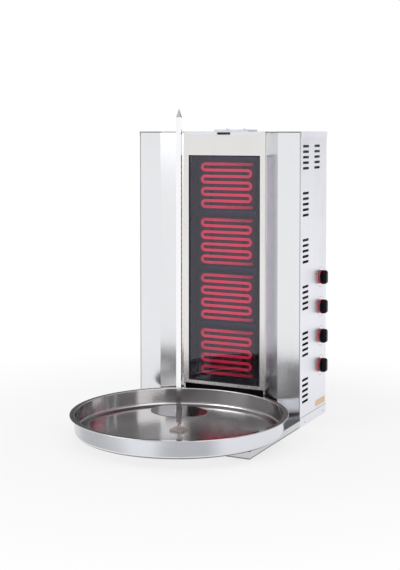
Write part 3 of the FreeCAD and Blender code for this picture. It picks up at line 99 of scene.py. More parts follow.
class GrillSizes(bpy.types.PropertyGroup):
    """The sizes of the pieces made here."""

    pan_wall: length("Pan Wall", "Radius of the pan's wall, outside", PAN_WALL)
    pan_sheet: length("Pan Sheet", "Thickness of the pan's sheet", 1.2 * MM)
    pan_corner: length("Pan Corner", "Radius between the pan's floor and its wall, outside", 13 * MM)
    pan_roll: length("Pan Roll", "Radius where the wall turns out into the rim, inside", 2.6 * MM)
    pan_bead: length("Pan Bead", "Width of the rolled bead round the rim", 3.6 * MM)
    disc_radius: length("Disc Radius", "Radius of the loose disc", 80 * MM)
    disc_thick: length("Disc Thickness", "Thickness of the loose disc", 3 * MM)
    disc_hole: length("Disc Hole", "Side of the disc's square hole", 15 * MM)
    disc_tilt: angle("Disc Tilt", "How far the disc leans on its pin", 3.54)
    disc_lean: angle("Disc Lean", "The way that the disc leans, from +X", 67.8)
    spit_side: length("Spit Side", "Side of the square spit", 14 * MM)
    spit_edge: length("Spit Edge", "Rounding of the spit's long edges", 0.9 * MM)
    spit_turn: angle("Spit Turn", "How far the spit is turned at rest", 15.4)
    spit_tip: length("Spit Tip", "Height of the spit's point", 24.5 * MM)
    spit_cone: length("Spit Cone", "Height of the cone above the spit's pivot", 7 * MM)
    spit_start: length("Spit Start", "Height of the square's lower end above the table", 46.5 * MM)
    pivot_radius: length("Pivot Radius", "Radius of the spit's pivot", 4 * MM)
    grip_thick: length("Grip Thickness", "Thickness of a grip's bar", 15 * MM)
    grip_base: length("Grip Base", "Thickness of a grip's round base", 3.2 * MM)
    grip_corner: length("Grip Corner", "Radius of a grip's outer corners", 8 * MM)
    grip_edge: length("Grip Edge", "Rounding of a grip's flanks", 1.8 * MM)
    skirt_bevel: length("Skirt Bevel", "Rounding of a knob skirt's outer edge", 0.5 * MM)
    skirt_hole: length("Skirt Hole", "Radius of a knob skirt's hole", 9 * MM)
    ring_radius: length("Ring Radius", "Radius of the ring printed round a knob", 30 * MM)
    ring_width: length("Ring Width", "Width of the printed ring", 1.1 * MM)
    element_radius: length("Element Radius", "Radius of an element's tube", 4.25 * MM)
    element_run: length("Element Run", "Length of an element's straight runs", 143.2 * MM)
    run_count: IntProperty(name="Runs", description="Level runs of each element", default=8, min=2, max=12)


class GrillColours(bpy.types.PropertyGroup):
    """The colours of the finishes."""

    sheet: colour("Sheet", "Brushed sheet steel", (0.87, 0.875, 0.93))
    column: colour("Columns", "Polished sheet of the columns and reflectors", (0.80, 0.81, 0.83))
    frame: colour("Frame", "Warm pale sheet round the glass", (0.83, 0.82, 0.80))
    base: colour("Base", "Sheet of the base tray", (0.66, 0.655, 0.68))
    pan: colour("Pan", "Satin sheet of the pan", (0.86, 0.84, 0.845))
    # Painted reflection: the pan's outer wall gets its own bluish tint, standing in for the studio light that it
    # mirrors.
    pan_outer_reflection: colour("Pan Outside", "Outer face of the pan's wall", (0.83, 0.85, 0.90))
    spit: colour("Spit", "Polished bar", (0.94, 0.945, 0.96))
    disc: colour("Disc", "Satin plate", (0.50, 0.48, 0.50))
    brass: colour("Socket Plate", "Dull brass of the socket plate", (0.74, 0.66, 0.60))
    zinc: colour("Fasteners", "Zinc-plated steel", (0.62, 0.63, 0.65))
    galvanised: colour("Inner Sheet", "Galvanised sheet", (0.52, 0.54, 0.56))
    glass: colour("Glass", "Tint of the heat-proof glass", (0.30, 0.27, 0.34))
    glow: colour("Glow", "Light of the hot tubes", (1.0, 0.042, 0.085))
    grip: colour("Grips", "Black moulded plastic", (0.006, 0.006, 0.008))
    skirt: colour("Skirts", "Red moulded plastic", (0.66, 0.020, 0.045))
    print_red: colour("Printed Rings", "Pale red print on the side panel", (0.72, 0.30, 0.34))
    label: colour("Label Plate", "Blank beige plate", (0.84, 0.60, 0.36))
    lead: colour("Leads", "Silicone-covered wire", (0.42, 0.05, 0.04))


class GrillStudio(bpy.types.PropertyGroup):
    """The studio: its light, its floor and the view."""

    view_place: FloatVectorProperty(name="Camera Place", description="Where the camera stands",
                                    default=(1.4645, -2.9098, 0.8653), subtype="TRANSLATION", unit="LENGTH")
    view_tilt: angle("Camera Tilt", "Tilt of the camera from straight down", 87.5)
    view_turn: angle("Camera Turn", "Turn of the camera about the vertical", 26.376)
    lens: FloatProperty(name="Lens", description="Focal length, in millimetres", default=72.16, min=10)
    rise: FloatProperty(name="Shift", description="Vertical shift of the view", default=-0.184)
    ambient: FloatProperty(name="Ambient", description="Light of the white surroundings", default=0.72, min=0)
    room: FloatProperty(name="Room", description="Brightness of the room behind the grill, as its metal shows it",
                        default=0.10, min=0, max=1)
    key_power: FloatProperty(name="Key Light", description="Power of the large key light", default=38, min=0,
                             unit="POWER")
    fill_power: FloatProperty(name="Fill Light", description="Power of the fill light", default=14, min=0,
                              unit="POWER")
    floor: colour("Floor", "The studio floor", (0.90, 0.90, 0.91))


# Shader graphs


class Signal:
    """A socket of a node, which adds its Math nodes when it is used in arithmetic."""

    def __init__(self, graph, socket):
        self.graph = graph
        self.socket = socket

    def output(self, name):
        """Another output of the same node."""
        return Signal(self.graph, self.socket.node.outputs[name])

    def combine(self, operation, first, second):
        """A Math node over two values."""
        return self.graph.node("ShaderNodeMath", {"operation": operation}, {0: first, 1: second})

    def __add__(self, other):
        return self.combine("ADD", self, other)

    def __radd__(self, other):
        return self.combine("ADD", other, self)

    def __sub__(self, other):
        return self.combine("SUBTRACT", self, other)

    def __rsub__(self, other):
        return self.combine("SUBTRACT", other, self)

    def __mul__(self, other):
        return self.combine("MULTIPLY", self, other)

    def __rmul__(self, other):
        return self.combine("MULTIPLY", other, self)

    def __pow__(self, other):
        return self.combine("POWER", self, other)

    def __rpow__(self, other):
        return self.combine("POWER", other, self)


class Graph:
    """A node tree, filled one node at a time."""

    def __init__(self, tree):
        self.tree = tree
        tree.nodes.clear()

    def node(self, kind, settings=None, sockets=None, output=0):
        """One node: its settings come first, then the values or links of its sockets."""
        made = self.tree.nodes.new(kind)
        for name, value in (settings or {}).items():
            if name == "stops":
                ramp = made.color_ramp.elements
                while len(ramp) < len(value):
                    ramp.new(0.5)
                for stop, (place, shade) in zip(ramp, value):
                    stop.position = place
                    stop.color = (*shade, 1)
            else:
                setattr(made, name, value)
        for name, value in (sockets or {}).items():
            socket = made.inputs[name]
            if isinstance(value, Signal):
                self.tree.links.new(value.socket, socket)
            elif socket.type == "RGBA":
                socket.default_value = (*value, 1)
            else:
                socket.default_value = value
        return Signal(self, made.outputs[output]) if made.outputs else None

    def place(self, scale=(1, 1, 1), offset=(0, 0, 0)):
        """The object's own coordinates, stretched and moved."""
        own = self.node("ShaderNodeTexCoord", output="Object")
        return self.node("ShaderNodeMapping", None, {"Vector": own, "Scale": scale, "Location": offset})

    def axes(self):
        """The three object coordinates, one by one."""
        own = self.node("ShaderNodeTexCoord", output="Object")
        split = self.node("ShaderNodeSeparateXYZ", None, {0: own})
        return split, split.output("Y"), split.output("Z")

    def noise(self, place, scale=1.0, detail=2.0, roughness=0.5):
        """Soft noise from 0 to 1."""
        return self.node("ShaderNodeTexNoise", {"noise_dimensions": "3D"},
                         {"Vector": place, "Scale": scale, "Detail": detail, "Roughness": roughness})

    def blend(self, factor, first, second):
        """A colour between two colours."""
        return self.node("ShaderNodeMix", {"data_type": "RGBA"}, {0: factor, 6: first, 7: second}, output=2)

    def ease(self, value, start, end, low=0.0, high=1.0):
        """A smooth step from low to high as the value goes from start to end."""
        return self.node("ShaderNodeMapRange", {"interpolation_type": "SMOOTHSTEP"},
                         {"Value": value, "From Min": start, "From Max": end, "To Min": low, "To Max": high})

    def bump(self, height, strength, distance):
        """A normal raised by a height."""
        return self.node("ShaderNodeBump", None, {"Height": height, "Strength": strength, "Distance": distance})

    def surface(self, **sockets):
        """The Principled shader and the output, with sockets named by their words."""
        named = {name.replace("_", " ").title().replace("Ior", "IOR"): value for name, value in sockets.items()}
        shader = self.node("ShaderNodeBsdfPrincipled", None, named)
        self.node("ShaderNodeOutputMaterial", None, {"Surface": shader})


def new_material(name):
    """A fresh material and its graph."""
    material = bpy.data.materials.new(f"grill_{name}")
    material.use_nodes = True
    return material, Graph(material.node_tree)


def shade(tint, factor):
    """A colour made darker or lighter."""
    return tuple(min(1.0, part * factor) for part in tint)


# Finishes


def column_seam_shade(graph):
    """Painted shade where a column meets the side panel and the lid, standing in for the shadow in the gaps."""
    x, y, z = graph.axes()
    across = graph.node("ShaderNodeMath", {"operation": "ABSOLUTE"}, {0: x})
    side = graph.ease(across, COLUMN_HIGH.x - 2.2 * MM, COLUMN_HIGH.x - 1.2 * MM)
    top = graph.ease(z, COLUMN_HIGH.z - 2.2 * MM, COLUMN_HIGH.z - 1.2 * MM)
    return graph.ease(side + top, 0, 1) * 0.75


def lid_lip_shade(graph):
    """Painted shade on the lid's front lip, the first 2 mm behind its front face."""
    x, y, z = graph.axes()
    return graph.ease(y, LID_LOW.y + 2 * MM, LID_LOW.y + 3 * MM, 0.42, 0.0)


def tray_foot_shadow(graph):
    """Painted contact shadow along the lower edge of the base tray."""
    x, y, z = graph.axes()
    return graph.ease(z, BASE_LOW.z + 2 * MM, BASE_LOW.z + 4 * MM, 0.8, 0.0)


def brushed(name, tint, along, roughness, streak=0.05, wear=0.06, painted_shade=None):
    """Steel sheet with fine brush lines along one axis and faint hand marks, darkened by painted shade where a
    shade mask is given.
    """
    material, graph = new_material(name)
    across = [420.0] * 3
    across[along] = 2.5
    wide = [60.0] * 3
    wide[along] = 1.2
    lines = graph.noise(graph.place(across), detail=3.0, roughness=0.6)
    bands = graph.noise(graph.place(wide), detail=1.0)
    marks = graph.noise(graph.place((7, 7, 7)), detail=4.0, roughness=0.62)
    tone = lines * 0.6 + bands * 0.4
    base = graph.blend(tone, shade(tint, 1 - streak), shade(tint, 1 + streak))
    # Painted shade: the sheet is blended towards near black where the mask falls, standing in for the shadow in
    # seams, gaps and under edges.
    if painted_shade:
        base = graph.blend(painted_shade(graph), base, (0.08, 0.08, 0.085))
    rough = roughness + (lines - 0.5) * 0.10 + graph.ease(marks, 0.45, 0.72) * wear
    graph.surface(base_color=base, metallic=1.0, roughness=rough,
                  normal=graph.bump(lines, 0.06, 0.00012))
    return material


def bar_and_disc(name, tint, dull):
    """A polished bar along the spit's axis, and the satin disc that it carries."""
    material, graph = new_material(name)
    x, y, z = graph.axes()
    off = y - AXIS.y
    radius = (x * x + off * off) ** 0.5
    disc = graph.ease(radius, 11.6 * MM, 12.4 * MM)
    lines = graph.noise(graph.place((420, 420, 2.5)), detail=3.0, roughness=0.6)
    marks = graph.ease(graph.noise(graph.place((24, 24, 24)), detail=5.0, roughness=0.64), 0.44, 0.70)
    bar = graph.blend(lines, shade(tint, 0.96), shade(tint, 1.04))
    plate = graph.blend(marks * 0.5, dull, shade(dull, 0.8))
    rough = 0.05 + lines * 0.05 + disc * (0.07 + marks * 0.06)
    graph.surface(base_color=graph.blend(disc, bar, plate), metallic=1.0, roughness=rough,
                  normal=graph.bump(lines, 0.05, 0.0001))
    return material


def ringed(name, tint, outer_reflection_tint, roughness):
    """Satin steel, brushed in rings about the spit's axis, with dried drips on its floor, a painted reflection on
    its outer wall and a painted contact shadow at the wall's foot.
    """
    material, graph = new_material(name)
    x, y, z = graph.axes()
    off = y - AXIS.y
    radius = (x * x + off * off) ** 0.5
    rings = graph.node("ShaderNodeCombineXYZ", None, {0: radius * 520.0, 1: z * 520.0, 2: x * 2.0 + y * 1.4})
    lines = graph.noise(rings, detail=2.0, roughness=0.6)
    broad = graph.node("ShaderNodeCombineXYZ", None, {0: radius * 46.0, 1: z * 46.0, 2: x * 1.5})
    bands = graph.noise(broad, detail=1.0)
    stains = graph.ease(graph.noise(graph.place((16, 16, 16)), detail=6.0, roughness=0.66), 0.56, 0.74)
    tone = lines * 0.5 + bands * 0.5
    clean = graph.blend(tone, shade(tint, 0.93), shade(tint, 1.06))
    polished = graph.ease(z, PAN_LOW.z + 8 * MM, PAN_LOW.z + 14 * MM)
    # Darker in broad patches that stay the same all the way up the wall.
    broad_patches = graph.ease(graph.noise(graph.place((3.2, 3.2, 0)), detail=1.0), 0.38, 0.62, 0.0, 0.25)
    inside = graph.blend(broad_patches + stains * 0.16, clean, shade(tint, 0.60))
    below_rim = graph.ease(z, PAN_HIGH.z - 3 * MM, PAN_HIGH.z - 2 * MM, 1.0, 0.0)
    outside = graph.ease(radius, PAN_WALL - 0.9 * MM, PAN_WALL - 0.5 * MM) * below_rim
    # Painted reflection: the outer wall takes the outer tint in a darker range and in broad sheen bands, standing
    # in for the studio light it mirrors.
    sheen = graph.ease(graph.noise(graph.place((5, 5, 2)), detail=1.0), 0.35, 0.65)
    painted_outer_reflection = graph.blend(sheen * 0.8 + lines * 0.2, shade(outer_reflection_tint, 0.52), shade(outer_reflection_tint, 0.96))
    # Painted contact shadow: near the bottom of the outer wall the pan is blended towards near black where it
    # meets the deck.
    foot_shadow = graph.ease(z, PAN_LOW.z + 4 * MM, PAN_LOW.z + 7 * MM, 0.85, 0.0) * graph.ease(radius, 0.26, 0.28)
    base = graph.blend(foot_shadow, graph.blend(outside, inside, painted_outer_reflection), (0.05, 0.05, 0.055))
    rough = roughness - polished * 0.10 + (lines - 0.5) * 0.06 + stains * 0.03 + outside * 0.14
    graph.surface(base_color=base, metallic=1.0, roughness=rough,
                  normal=graph.bump(lines, 0.04, 0.0001))
    return material


def plated(name, tint, roughness, metallic=1.0):
    """Plated metal with a fine mottle."""
    material, graph = new_material(name)
    mottle = graph.noise(graph.place((260, 260, 260)), detail=3.0)
    cloud = graph.noise(graph.place((38, 38, 38)), detail=2.0)
    base = graph.blend(mottle * 0.5 + cloud * 0.5, shade(tint, 0.88), shade(tint, 1.08))
    graph.surface(base_color=base, metallic=metallic, roughness=roughness + (cloud - 0.5) * 0.16,
                  normal=graph.bump(mottle, 0.10, 0.0001))
    return material


def spangled(name, tint):
    """Galvanised sheet with its crystal spangle, painted near black where it holds the elements, as painted shade
    for the dark inside of the heater.
    """
    material, graph = new_material(name)
    cells = graph.node("ShaderNodeTexVoronoi", {"feature": "F1"},
                       {"Vector": graph.place((95, 95, 95)), "Randomness": 1.0}, output="Color")
    facet = graph.node("ShaderNodeSeparateXYZ", None, {0: cells})
    cloud = graph.noise(graph.place((11, 11, 11)), detail=3.0)
    bright = graph.blend(facet * 0.7 + cloud * 0.3, shade(tint, 0.78), shade(tint, 1.15))
    x, y, z = graph.axes()
    edge = 1 * MM
    # Painted shade: the sheet across the trays' depth is blended to near black.
    interior_shade = graph.ease(y, TRAY_LOW.y - 2 * edge, TRAY_LOW.y - edge) * graph.ease(y, TRAY_HIGH.y, TRAY_HIGH.y + edge, 1, 0)
    base = graph.blend(interior_shade * (0.92 + cloud * 0.06), bright, (0.012, 0.012, 0.015))
    graph.surface(base_color=base, metallic=1.0, roughness=0.34 + facet * 0.14 + interior_shade * 0.3,
                  normal=graph.bump(facet, 0.05, 0.0002))
    return material


def moulded(name, tint, roughness, grain=0.06, coat=0.0, shine=0.5):
    """Moulded plastic with a fine grain and rubbed patches."""
    material, graph = new_material(name)
    fine = graph.noise(graph.place((900, 900, 900)), detail=2.0)
    rubbed = graph.ease(graph.noise(graph.place((30, 30, 30)), detail=4.0), 0.42, 0.70)
    base = graph.blend(rubbed * 0.5, shade(tint, 0.92), shade(tint, 1.22))
    graph.surface(base_color=base, roughness=roughness + rubbed * 0.08, coat_weight=coat,
                  specular_ior_level=shine, normal=graph.bump(fine, grain, 0.0001))
    return material


def rubbery(name, tint):
    """Matt black rubber with dust in its pores."""
    material, graph = new_material(name)
    pores = graph.noise(graph.place((650, 650, 650)), detail=3.0)
    dust = graph.ease(graph.noise(graph.place((45, 45, 45)), detail=5.0), 0.48, 0.75)
    base = graph.blend(dust * 0.35, tint, (0.10, 0.095, 0.09))
    graph.surface(base_color=base, roughness=0.72 + pores * 0.16, normal=graph.bump(pores, 0.25, 0.0002))
    return material


def roped(name, tint):
    """Woven black glass rope, its strands wound at a slant."""
    material, graph = new_material(name)
    x, y, z = graph.axes()
    slant = x + y + z
    strands = graph.node("ShaderNodeMath", {"operation": "SINE"}, {0: slant * 2600.0}) * 0.5 + 0.5
    fuzz = graph.noise(graph.place((800, 800, 800)), detail=2.0)
    base = graph.blend(strands * 0.6 + fuzz * 0.4, shade(tint, 0.6), shade(tint, 1.8))
    graph.surface(base_color=base, roughness=0.66 + fuzz * 0.2, normal=graph.bump(strands, 0.5, 0.0003))
    return material


def fibrous(name, tint):
    """Pressed fibre board, matt and flecked."""
    material, graph = new_material(name)
    fibres = graph.noise(graph.place((320, 60, 320)), detail=5.0, roughness=0.7)
    flecks = graph.ease(graph.noise(graph.place((140, 140, 140)), detail=3.0), 0.58, 0.68)
    base = graph.blend(flecks * 0.5 + fibres * 0.3, shade(tint, 0.8), shade(tint, 1.7))
    graph.surface(base_color=base, roughness=0.86 + fibres * 0.1, normal=graph.bump(fibres, 0.6, 0.0006))
    return material


def glazed(name, tint):
    """Glazed ceramic with fine crazing."""
    material, graph = new_material(name)
    craze = graph.node("ShaderNodeTexVoronoi", {"feature": "DISTANCE_TO_EDGE"},
                       {"Vector": graph.place((420, 420, 420))})
    lines = graph.ease(craze, 0.0, 0.06, 1.0, 0.0)
    base = graph.blend(lines * 0.3, tint, shade(tint, 0.6))
    graph.surface(base_color=base, roughness=0.20 + lines * 0.2, normal=graph.bump(craze, 0.05, 0.0001))
    return material


def heat_glass(name, tint):
    """Dark heat-proof glass with faint smears on its face."""
    material, graph = new_material(name)
    smear = graph.noise(graph.place((9, 9, 3)), detail=5.0, roughness=0.65)
    haze = graph.ease(smear, 0.5, 0.8)
    base = graph.blend(haze * 0.15, tint, shade(tint, 0.9))
    graph.surface(base_color=base, transmission_weight=1.0, ior=1.5, roughness=0.004 + haze * 0.008,
                  coat_weight=0.5, coat_tint=(0.80, 0.80, 1.0))
    return material


def glowing(name, glow):
    """Hot sheath tube: bright along its inner runs, duller on the outer ones and at its bends."""
    material, graph = new_material(name)
    x, y, z = graph.axes()
    level = graph.node("ShaderNodeMath", {"operation": "PINGPONG"}, {0: z - ZONE_EDGE, 1: ZONE_HALF})
    outer = graph.ease(level, 0.016, 0.036, 1.0, 0.0)
    tail = graph.ease(x, -0.03, 0.085) * outer
    reach = graph.node("ShaderNodeMath", {"operation": "ABSOLUTE"}, {0: x})
    bends = graph.ease(reach, 0.060, 0.086, 1.0, 0.80)
    depth = graph.ease(y, 0.226, 0.236, 1.0, 0.15)
    mottle = graph.noise(graph.place((45, 45, 90)), detail=3.0) * 0.7 + 0.65
    low = graph.ease(z, LAST_LOW, LAST_LOW + ZONE_HALF * 1.8, 0.45, 1.0)
    heat = (1 - outer * 0.18) * (1 - tail * 0.45) * bends * depth * low * mottle
    light = graph.blend(heat, (0.05, 0.0, 0.0), glow)
    scale = graph.noise(graph.place((500, 500, 500)), detail=3.0)
    base = graph.blend(scale, (0.10, 0.03, 0.03), (0.22, 0.06, 0.05))
    graph.surface(base_color=base, roughness=0.55 + scale * 0.2, emission_color=light, emission_strength=2.6,
                  normal=graph.bump(scale, 0.2, 0.0002))
    return material


def make_finishes(colours):
    """Every finish, under the name of the slot that wears it."""
    return {
        "sheet_steel": brushed("sheet_steel", colours.sheet, 2, 0.36),
        "frame_steel": brushed("frame_steel", colours.frame, 2, 0.24, streak=0.03, wear=0.05),
        "lid_steel": brushed("lid_steel", colours.sheet, 0, 0.30, painted_shade=lid_lip_shade),
        "polished_steel": brushed("polished_steel", colours.column, 2, 0.15, streak=0.03, wear=0.05,
                                  painted_shade=column_seam_shade),
        "base_steel": brushed("base_steel", colours.base, 1, 0.13, streak=0.06, painted_shade=tray_foot_shadow),
        "pan_steel": ringed("pan_steel", colours.pan, colours.pan_outer_reflection, 0.21),
        "spit_steel": bar_and_disc("spit_steel", colours.spit, colours.disc),
        "socket_brass": plated("socket_brass", colours.brass, 0.42),
        "fastener_steel": plated("fastener_steel", colours.zinc, 0.30),
        "galvanised_steel": spangled("galvanised_steel", colours.galvanised),
        "heater_glass": heat_glass("heater_glass", colours.glass),
        "seal_black": roped("seal_black", (0.016, 0.016, 0.017)),
        "foot_rubber": rubbery("foot_rubber", (0.030, 0.030, 0.031)),
        "insulation_board": fibrous("insulation_board", (0.12, 0.11, 0.105)),
        "element_red": glowing("element_red", colours.glow),
        "bead_white": glazed("bead_white", (0.82, 0.79, 0.73)),
        "regulator_case": moulded("regulator_case", (0.46, 0.36, 0.24), 0.55, grain=0.2),
        "shaft_steel": plated("shaft_steel", (0.68, 0.68, 0.70), 0.22),
        "knob_black": moulded("knob_black", colours.grip, 0.26, grain=0.05, shine=0.12),
        "skirt_red": moulded("skirt_red", colours.skirt, 0.20, grain=0.04, coat=0.5),
        "block_cream": moulded("block_cream", (0.78, 0.74, 0.62), 0.48, grain=0.12),
        "gland_black": moulded("gland_black", (0.024, 0.024, 0.025), 0.46, grain=0.15),
        "lead_red": moulded("lead_red", colours.lead, 0.50, grain=0.10),
        "label_foil": plated("label_foil", colours.label, 0.40, metallic=0.35),
        "ring_print": moulded("ring_print", colours.print_red, 0.50, grain=0.05),
    }


# Modelling


def lathe(mesh, profile, matrix, steps=96, rounds=(), closed=False):
    """Spins a profile of radius and height about Z, rounds some of its rings, and places it."""
    points = [mesh.verts.new((radius, 0, height)) for radius, height in profile]
    pairs = list(zip(points, points[1:] + points[:1])) if closed else list(zip(points, points[1:]))
    edges = [mesh.edges.new(pair) for pair in pairs]
    before = set(mesh.verts) - set(points)
    bmesh.ops.spin(mesh, geom=points + edges, cent=(0, 0, 0), axis=(0, 0, 1), angle=2 * math.pi, steps=steps,
                   use_merge=True)
    spun = [vert for vert in mesh.verts if vert not in before]
    bmesh.ops.remove_doubles(mesh, verts=spun, dist=1e-6)
    spun = [vert for vert in mesh.verts if vert not in before]
    faces = {face for vert in spun for face in vert.link_faces}
    bmesh.ops.recalc_face_normals(mesh, faces=list(faces))
    for number, size, segments in rounds:
        radius, height = profile[number]
        ring = {edge for vert in mesh.verts if vert not in before for edge in vert.link_edges
                if all(abs(end.co.z - height) < 1e-6 and abs(end.co.xy.length - radius) < 1e-5
                       for end in edge.verts)}
        soften(mesh, ring, size, segments)
    spun = [vert for vert in mesh.verts if vert not in before]
    bmesh.ops.transform(mesh, matrix=matrix, verts=spun)


def soften(mesh, edges, size, segments):
    """Rounds edges."""
    bmesh.ops.bevel(mesh, geom=list(edges), offset=size, offset_type="OFFSET", affect="EDGES",
                    segments=segments, profile=0.5, material=-1, clamp_overlap=True)


def block(mesh, low, high):
    """A box between two corners."""
    low, high = Vector(low), Vector(high)
    size = high - low
    matrix = Matrix.Translation((low + high) / 2) @ Matrix.Diagonal((*size, 1))
    return bmesh.ops.create_cube(mesh, size=1, matrix=matrix)["verts"]


def finish_piece(name, mesh, body, slot, replaced=(), sharp=40):
    """Turns a bmesh into a piece that rides on a body and wears its slot's finish."""
    data = bpy.data.meshes.new(name)
    mesh.to_mesh(data)
    mesh.free()
    data.shade_smooth()
    data.set_sharp_from_angle(angle=math.radians(sharp))
    piece = bpy.data.objects.new(name, data)
    bpy.context.scene.collection.objects.link(piece)
    data.materials.append(bpy.data.materials[f"grill_{slot}"])
    even = piece.modifiers.new("Even Shading", "WEIGHTED_NORMAL")
    even.mode = "FACE_AREA"
    even.keep_sharp = True
    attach(piece, body)
    if replaced:
        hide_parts(*replaced)
    return piece


def span(node):
    """The lowest and highest corners of a CAD node."""
    low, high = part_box(node)
    return Vector(low), Vector(high)


# Operators


class GRILL_OT_finishes(bpy.types.Operator):
    """Make every finish and put it on the CAD nodes"""

    bl_idname = "grill.finishes"
    bl_label = "Finishes"

    def execute(self, context):
        finishes = make_finishes(context.scene.grill_colours)
        for part in frame["record"]["subparts"]:
            node = frame["nodes"][part["node"]]
            finish = OWN_FINISHES.get(part["node"], part["material_slot"])
            for place in node.material_slots:
                place.material = finishes[finish]
        return {"FINISHED"}


class GRILL_OT_pan(bpy.types.Operator):
    """Make the round drip pan with its rolled rim"""

    bl_idname = "grill.pan"
    bl_label = "Drip Pan"

    def execute(self, context):
        sizes = context.scene.grill_sizes
        outer = (PAN_HIGH.x - PAN_LOW.x) / 2
        low, top = PAN_LOW.z, PAN_HIGH.z
        sheet, wall, bead = sizes.pan_sheet, sizes.pan_wall, sizes.pan_bead
        profile = [(0, low), (wall, low), (wall, top - sheet), (outer - bead, top - sheet),
                   (outer - bead, top - bead), (outer, top - bead), (outer, top), (wall - sheet, top),
                   (wall - sheet, low + sheet), (0, low + sheet)]
        rounds = [(1, sizes.pan_corner, 8), (8, sizes.pan_corner - sheet, 8), (7, sizes.pan_roll, 5),
                  (2, sizes.pan_roll - sheet, 4), (4, bead * 0.48, 4), (5, bead * 0.48, 4), (6, bead * 0.48, 4)]
        mesh = bmesh.new()
        lathe(mesh, profile, Matrix.Translation(AXIS), steps=256, rounds=rounds)
        finish_piece("pan_dish", mesh, "pan", "pan_steel", ["drip_pan"])
        return {"FINISHED"}


class GRILL_OT_disc(bpy.types.Operator):
    """Make the loose disc with its square hole"""

    bl_idname = "grill.disc"
    bl_label = "Meat Disc"

    def execute(self, context):
        sizes = context.scene.grill_sizes
        low, high = span("kebab_disc")
        mesh = bmesh.new()
        bmesh.ops.create_circle(mesh, segments=128, radius=sizes.disc_radius)
        hole = bmesh.ops.create_circle(mesh, segments=128, radius=sizes.disc_hole)["verts"]
        for vert in hole:
            vert.co *= sizes.disc_hole / 2 / max(abs(vert.co.x), abs(vert.co.y))
        bmesh.ops.bridge_loops(mesh, edges=mesh.edges[:])
        raised = bmesh.ops.extrude_face_region(mesh, geom=mesh.faces[:], use_keep_orig=True)["geom"]
        lifted = [item for item in raised if isinstance(item, bmesh.types.BMVert)]
        bmesh.ops.translate(mesh, verts=lifted, vec=(0, 0, sizes.disc_thick))
        bmesh.ops.recalc_face_normals(mesh, faces=mesh.faces[:])
        rim_edges = [edge for edge in mesh.edges
                     if all(abs(end.co.xy.length - sizes.disc_radius) < 1e-6 for end in edge.verts)
                     and abs(edge.verts[0].co.z - edge.verts[1].co.z) < 1e-6]
        soften(mesh, rim_edges, 0.7 * MM, 3)
        lean = sizes.disc_lean + math.pi / 2
        middle = Vector((AXIS.x, AXIS.y, (low.z + high.z) / 2))
        matrix = (Matrix.Translation(middle)
                  @ Matrix.Rotation(sizes.disc_tilt, 4, Vector((math.cos(lean), math.sin(lean), 0)))
                  @ Matrix.Rotation(sizes.spit_turn, 4, "Z") @ Matrix.Translation((0, 0, -sizes.disc_thick / 2)))
        bmesh.ops.transform(mesh, matrix=matrix, verts=mesh.verts[:])
        finish_piece("meat_disc", mesh, "disc", "spit_steel", ["kebab_disc"])
        return {"FINISHED"}


class GRILL_OT_spit(bpy.types.Operator):
    """Make the square spit with its point and its pivot"""

    bl_idname = "grill.spit"
    bl_label = "Spit"

    def execute(self, context):
        sizes = context.scene.grill_sizes
        half = sizes.spit_side / 2
        shoulder = SPIT_HIGH.z - sizes.spit_tip
        mesh = bmesh.new()
        block(mesh, (-half, -half, sizes.spit_start), (half, half, shoulder))
        top = max(mesh.faces, key=lambda face: face.calc_center_median().z)
        point = bmesh.ops.extrude_face_region(mesh, geom=[top])["geom"]
        tip = [item for item in point if isinstance(item, bmesh.types.BMVert)]
        bmesh.ops.translate(mesh, verts=tip, vec=(0, 0, sizes.spit_tip))
        bmesh.ops.scale(mesh, verts=tip, vec=(0.06, 0.06, 1))
        bmesh.ops.recalc_face_normals(mesh, faces=mesh.faces[:])
        long_edges = [edge for edge in mesh.edges if edge.calc_length() > sizes.spit_tip * 0.9]
        soften(mesh, long_edges, sizes.spit_edge, 8)
        cone_low = sizes.spit_start - sizes.spit_cone
        lathe(mesh, [(0, SPIT_LOW.z), (sizes.pivot_radius, SPIT_LOW.z), (sizes.pivot_radius, cone_low),
                     (half, sizes.spit_start), (0, sizes.spit_start + half)], Matrix.Identity(4), steps=48)
        matrix = Matrix.Translation(AXIS) @ Matrix.Rotation(sizes.spit_turn, 4, "Z")
        bmesh.ops.transform(mesh, matrix=matrix, verts=mesh.verts[:])
        finish_piece("spit_rod", mesh, "spit", "spit_steel", ["spit_bar"], sharp=14)
        return {"FINISHED"}


